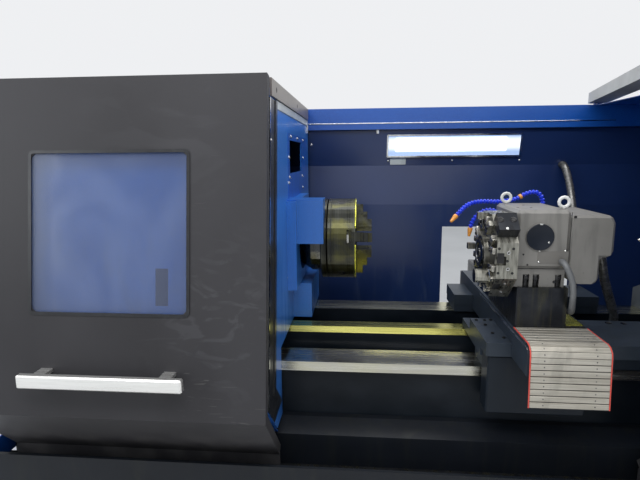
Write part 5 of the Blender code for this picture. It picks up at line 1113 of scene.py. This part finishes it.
LONG_HOSE = [(0.500, -0.2847, 1.335), (0.500, -0.272, 1.335), (0.499, -0.264, 1.360),
             (0.492, -0.264, 1.402), (0.468, -0.266, 1.428), (0.425, -0.268, 1.424),
             (0.372, -0.272, 1.398), (0.300, -0.274, 1.388), (0.225, -0.278, 1.389),
             (0.168, -0.292, 1.376), (0.118, -0.320, 1.335), (0.085, -0.340, 1.302)]
SHORT_HOSE = [(0.330, -0.2997, 1.320), (0.330, -0.284, 1.320), (0.322, -0.268, 1.330),
              (0.296, -0.254, 1.345), (0.250, -0.250, 1.345), (0.208, -0.250, 1.310),
              (0.192, -0.250, 1.265), (0.186, -0.250, 1.215)]
for words, route in (("long hose:", LONG_HOSE), ("short hose:", SHORT_HOSE)):
    print(words, round(len(smooth(route, 0.001)) / 1000, 3), "m")

# %% Lay the links and nozzles
LINK_PITCH = 0.0145
NOZZLE_LINKS = 4


def jointed_hose(name, route, collar_at):
    laid = smooth(route, LINK_PITCH)
    tip = len(laid) - NOZZLE_LINKS
    link = [(0, 0.0062), (0.0018, 0.0104), (0.0072, 0.0104), (0.0105, 0.0064), (0.0155, 0.0060)]
    spots = [towards(a, b) for a, b in zip(laid[:tip], laid[1:])]
    chain = row(turned(link, 14), name, "cross_slide", hose_blue, spots)
    nozzle = [(0, 0.0102), (0.004, 0.0112), (0.012, 0.0106), (0.040, 0.0055), (0.0405, 0.0036),
              (0.030, 0.0030)]
    put(turned(nozzle, 20), name + "_nozzle", "cross_slide", hose_orange,
        towards(laid[tip], laid[-1]))
    if collar_at:
        ring = [(0, 0.0098), (0.001, 0.0114), (0.010, 0.0114), (0.0125, 0.0100)]
        place = towards(laid[collar_at], laid[collar_at + 1])
        put(turned(ring, 20), name + "_collar", "cross_slide", hose_orange, place)
    return chain


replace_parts(jointed_hose("long_hose_links", LONG_HOSE, 13), "coolant_hose_long")
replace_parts(jointed_hose("short_hose_links", SHORT_HOSE, 0), "coolant_hose_short")
tally("hoses")

# %% [markdown]
# ## Ribbed conduits
# The cables run in corrugated sheaths. A curve takes a point at every rib and every groove, and
# the radius of each point is set in turn, so that one round bevel gives the whole sheath.

# %% Conduits
def sheath(name, route, radius, rib):
    curve = bpy.data.curves.new(name, "CURVE")
    curve.dimensions = "3D"
    curve.bevel_depth = radius
    curve.bevel_resolution = 3
    curve.use_fill_caps = True
    laid = smooth(route, rib)
    spline = curve.splines.new("POLY")
    spline.points.add(len(laid) - 1)
    for i, (point, place) in enumerate(zip(spline.points, laid)):
        point.co = (*place, 1.0)
        point.radius = 0.99 if i % 2 else 0.90
    piece = bpy.data.objects.new(name, curve)
    bpy.context.scene.collection.objects.link(piece)
    only(piece)
    bpy.ops.object.convert(target="MESH")
    bpy.ops.object.mode_set(mode="EDIT")
    return close_up(60)


FRONT = [(0.458, -0.6003, 1.190), (0.458, -0.622, 1.190), (0.466, -0.640, 1.170),
         (0.481, -0.648, 1.130), (0.490, -0.647, 1.090), (0.494, -0.640, 1.050),
         (0.503, -0.618, 1.012), (0.512, -0.592, 0.990), (0.506, -0.565, 0.982),
         (0.4928, -0.565, 0.982)]
REAR = [(0.6483, -0.34, 1.26), (0.676, -0.34, 1.26), (0.712, -0.335, 1.215),
        (0.735, -0.325, 1.150), (0.757, -0.310, 1.075), (0.790, -0.285, 1.000),
        (0.825, -0.260, 0.930), (0.850, -0.245, 0.870), (0.855, -0.240, 0.840),
        (0.855, -0.240, 0.8086)]
OVERHEAD = [(0.950, 0.7205, 1.530), (0.950, 0.690, 1.530), (0.952, 0.640, 1.490),
            (0.958, 0.585, 1.400), (0.958, 0.520, 1.270), (0.945, 0.440, 1.130),
            (0.915, 0.340, 1.000), (0.885, 0.258, 0.930), (0.872, 0.240, 0.895),
            (0.872, 0.240, 0.8623)]
front_sheath = sheath("front_sheath", FRONT, 0.0118, 0.0030)
put(front_sheath, "front_sheath", "cross_slide", sheath_grey)
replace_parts(front_sheath, "front_conduit")
rear_sheath = sheath("rear_sheath", REAR, 0.020, 0.0045)
rear_sheath.data.materials.append(steel_sheath)
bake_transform(rear_sheath)
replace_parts(rear_sheath, "rear_conduit")
overhead_sheath = sheath("overhead_sheath", OVERHEAD, 0.022, 0.0050)
overhead_sheath.data.materials.append(steel_sheath)
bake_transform(overhead_sheath)
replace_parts(overhead_sheath, "overhead_conduit")
tally("conduits")

# %% [markdown]
# ## Slatted curtain
# A curtain of flat slats covers the cross slide's ways and hangs over its front. Each slat is the
# same plate with two rivets. They are laid along the line that the solid curtain follows, flat,
# round a bend, and then hanging, between two toothed rubber edges.

# %% Curtain
SLAT_X = (0.2965, 0.5770)
TOP_START, TOP_Z, TOP_PITCH = -0.6133, 0.9233, 0.0261
BEND_Y, BEND_Z, BEND_R = -0.757, 0.885, 0.0383
HANG_LEAN, HANG_DROP, HANG_SLATS = 0.0140, 0.185, 8
slat_middle = sum(SLAT_X) / 2
slat_width = SLAT_X[1] - SLAT_X[0]
line = [(TOP_START - TOP_PITCH * i, TOP_Z, 0.0) for i in range(6)]
for i in range(3):
    angle = math.radians(15 + 30 * i)
    line.append((BEND_Y - BEND_R * math.sin(angle), BEND_Z + BEND_R * math.cos(angle), angle))
for i in range(HANG_SLATS):
    share = (i + 0.5) / HANG_SLATS
    line.append((BEND_Y - BEND_R - HANG_LEAN * share, BEND_Z - HANG_DROP * share,
                 math.radians(85.7)))
slats, edges, rivets = [], [], []
for y, z, angle in line:
    back, out = outward(angle)
    place = axes((slat_middle, y, z), (1, 0, 0), back, out)
    slats.append(place)
    for x in (0.347, 0.5245):
        rivets.append(place @ Matrix.Translation((x - slat_middle, 0, 0.0042)))
    for side in (-1, 1):
        edges.append(place @ Matrix.Translation((side * (slat_width / 2 - 0.0022), 0, 0.0002)))
curtain = []
rivet = [(0, 0.0026), (0.0005, 0.0023), (0.0007, 0.0010)]
for shape, name, material, places in (
    (plate(slat_width - 0.010, 0.0202, 0.0042, 0.0, 0.0014), "curtain_slats", slat_metal, slats),
    (plate(slat_width - 0.012, 0.0262, 0.0010), "curtain_backing", wall_black, slats),
    (turned(rivet, 12), "curtain_rivets", steel_sheath, rivets),
    (plate(0.0042, 0.0236, 0.0036, 0.0, 0.0010), "curtain_edges", red_seal, edges),
):
    piece = joined(shape, places)
    piece.name = piece.data.name = name
    piece.data.materials.append(material)
    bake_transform(piece)
    curtain.append(piece)
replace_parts(curtain[0], "slat_curtain")
print("curtain slats:", len(slats))

# %% [markdown]
# ## Saddle
# The saddle's wings are bolted down, with deep counterbores on the right and screws on the left,
# and a bright strip runs along the slide's left side. Oil collects on the table beside the block.

# %% Saddle details
WING_Z = 0.862


def on_wing(places):
    return [at((x, y, WING_Z)) for x, y in places]


spots = on_wing([(0.217, -0.341), (0.253, -0.342), (0.280, -0.337), (0.241, -0.404),
                 (0.245, -0.504),
                 (0.277, -0.554)])
row(socket_screw(0.0070, 0.0050), "left_wing_screws", "saddle", black_bolt, spots)
bore = [(0, 0.0130), (0.0010, 0.0130), (0.0010, 0.0112), (0.0002, 0.0104)]
spots = on_wing([(0.781, -0.343), (0.843, -0.347)])
repeat(turned(bore, 24), "right_wing_bore", "saddle", black_bolt, spots)
strip = plate(0.700, 0.008, 0.0012, 0.0, 0.0004)
put(strip, "slide_left_strip", "saddle", polished, at((0.2920, -0.430, 0.910), (-1, 0, 0)))
oil = plate(0.066, 0.290, 0.0008, 0.002)
put(oil, "table_oil", "cross_slide", oily_yellow, at((0.5310, -0.445, 0.9331)))
tally("saddle")

# %% [markdown]
# ## Window gaskets
# A black rubber section holds each pane in its door. It is a flat frame laid on the leaning panel.

# %% Gaskets
DOOR_LEAN = (0, -0.9875, 0.1577)
WINDOW_Y, WINDOW_Z = -0.7850, 1.3185
for side, x in (("left", -1.227), ("right", 1.400)):
    gasket = open_frame(0.618, 0.612, 0.012, 0.0030, 0.020)
    place = at((x, WINDOW_Y, WINDOW_Z), DOOR_LEAN)
    put(gasket, side + "_window_gasket", side + "_door", wall_black, place)
tally("gaskets")

# %% [markdown]
# ## Pendant
# The control pendant has a screen behind a thin bezel, a row of soft keys under it and a column
# of keys beside it. The keys are bare. One key is modelled and copied along its line.

# %% Pendant details
pendant_x = middle_of(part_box("pendant_housing"))[0][0]
CONSOLE_Y = -1.098
FACE_Y = -1.060
SCREEN_Z = 1.590
made = finish("screen_glass", 0.10, Specular_IOR_Level=0.6)
bands = ease(noise(3.0, (1.0, 1.0, 14.0), 1.0), 0.48, 0.52)
feed(Base_Color=mix(bands, (0.010, 0.016, 0.026), (0.016, 0.030, 0.050)))
feed(Roughness=ease(noise(12.0), 0.3, 0.7, 0.06, 0.16))
key_grey = moulded("key_grey", (0.200, 0.205, 0.210), 0.40)
screen = plate(0.252, 0.192, 0.0030, 0.004, 0.0006)
put(screen, "screen_pane", "pendant", made, at((pendant_x, FACE_Y + 0.0055, SCREEN_Z), front))
bezel = open_frame(0.272, 0.212, 0.008, 0.0030, 0.006)
put(bezel, "screen_bezel", "pendant", black_plastic, at((pendant_x, FACE_Y, SCREEN_Z), front))
soft_keys = [(-0.120 + 0.0343 * i, 1.4640) for i in range(8)]
side_keys = [(-0.1550, 1.5250 + 0.0260 * i) for i in range(6)]
screws = [(x, z) for x in (-0.176, 0.176) for z in (1.470, 1.735)]
for piece, name, material, places in (
    (plate(0.024, 0.014, 0.0036, 0.002, 0.0010), "soft_keys", key_grey, soft_keys),
    (plate(0.018, 0.016, 0.0036, 0.002, 0.0010), "side_keys", key_grey, side_keys),
    (button_screw(0.0045), "pendant_screws", zinc, screws),
):
    spots = [at((pendant_x + x, FACE_Y, z), front) for x, z in places]
    row(piece, name, "pendant", material, spots)
dial = turned([(0, 0.042), (0.0010, 0.042), (0.0016, 0.040), (0.0016, 0.037), (0.0006, 0.036)], 48)
wheel = middle_of(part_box("pulse_handwheel"))[0]
put(dial, "handwheel_dial", "pendant", polished, at((wheel[0], CONSOLE_Y, wheel[2]), front))
collar = turned([(0, 0.042), (0.004, 0.042), (0.010, 0.036), (0.022, 0.034)], 36)
put(collar, "hanger_collar", "pendant", black_plastic, at((pendant_x, -1.020, 1.7505)))
tally("pendant")

# %% [markdown]
# ## Electrical cabinet
# The cabinet at the back has one pair of doors that lie flush with its frame, and rows of slots
# near the top let warm air out. Flush joints and slots need no shape of their own, so they are
# drawn by the paint, from the place on the cabinet. The hinges are turned barrels on its sides.

# %% Cabinet paint
cabinet, cabinet_size = middle_of(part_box("electrical_cabinet"))
half_wide = cabinet_size[0] / 2
DOOR_LOW, DOOR_HIGH = 0.200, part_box("electrical_cabinet")[1][2] - 0.040
JOINT = 0.0016
SLOT_PITCH = 0.022
HINGE_Y = 1.108


def within(value, middle, reach):
    """One where a value lies within reach of a middle, and zero elsewhere."""
    return maths("COMPARE", value, middle, reach)


cabinet_paint = pendant_paint.copy()
cabinet_paint.name = "cabinet_paint"
painted = colour_of(cabinet_paint)
across = maths("SUBTRACT", along("X"), cabinet[0])
out = maths("ABSOLUTE", across)
up = along("Z")
joint = most(within(across, 0.0, JOINT), within(out, half_wide - 0.022, JOINT))
inside = maths("LESS_THAN", out, half_wide - 0.021)
for height in (DOOR_LOW, DOOR_HIGH):
    joint = most(joint, times(inside, within(up, height, JOINT)))
joint = times(joint, within(up, (DOOR_LOW + DOOR_HIGH) / 2, (DOOR_HIGH - DOOR_LOW) / 2))
slot = within(maths("FRACT", maths("DIVIDE", up, SLOT_PITCH)), 0.5, 0.18)
slot = times(slot, within(up, 1.100, 0.066))
slot = times(slot, within(out, half_wide / 2, 0.130))
marks = times(most(joint, slot), ease(facing("Y"), 0.80, 0.90))
feed(Base_Color=mix(marks, painted, (0.010, 0.010, 0.011)))
dress(cabinet_paint, "electrical_cabinet")
hinge = [(0, 0.0070), (0.070, 0.0070), (0.072, 0.0058)]
hinge_x = [cabinet[0] + side * (half_wide + 0.004) for side in (-1, 1)]
spots = [at((x, HINGE_Y, z)) for x in hinge_x for z in (0.300, 0.700, 1.080)]
row(turned(hinge, 16), "cabinet_hinges", "machine", satin_steel, spots)
tally("cabinet")

# %% [markdown]
# ## Coolant tank and tailstock
# The tank's lid has two lifting grips and is held by four screws. The tailstock's barrel carries
# an oil cup.

# %% Tank and tailstock details
tank_x = middle_of(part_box("coolant_tank"))[0][0]
TANK_TOP = 0.400
spots = [at((tank_x + x, 1.060, TANK_TOP)) for x in (-0.260, 0.050)]
repeat(plate(0.110, 0.028, 0.010, 0.008, 0.004), "tank_grip", "machine", black_plastic, spots)
spots = [at((tank_x + x, y, TANK_TOP)) for x in (-0.350, 0.350) for y in (0.790, 1.090)]
row(button_screw(0.0080), "tank_screws", "machine", zinc, spots)
cup = turned([(0, 0.012), (0.006, 0.012), (0.008, 0.009), (0.020, 0.009), (0.024, 0.005)], 20)
put(cup, "tailstock_oil_cup", "tailstock", zinc, at((1.300, 0.0, 1.2795)))
tally("tank and tailstock")
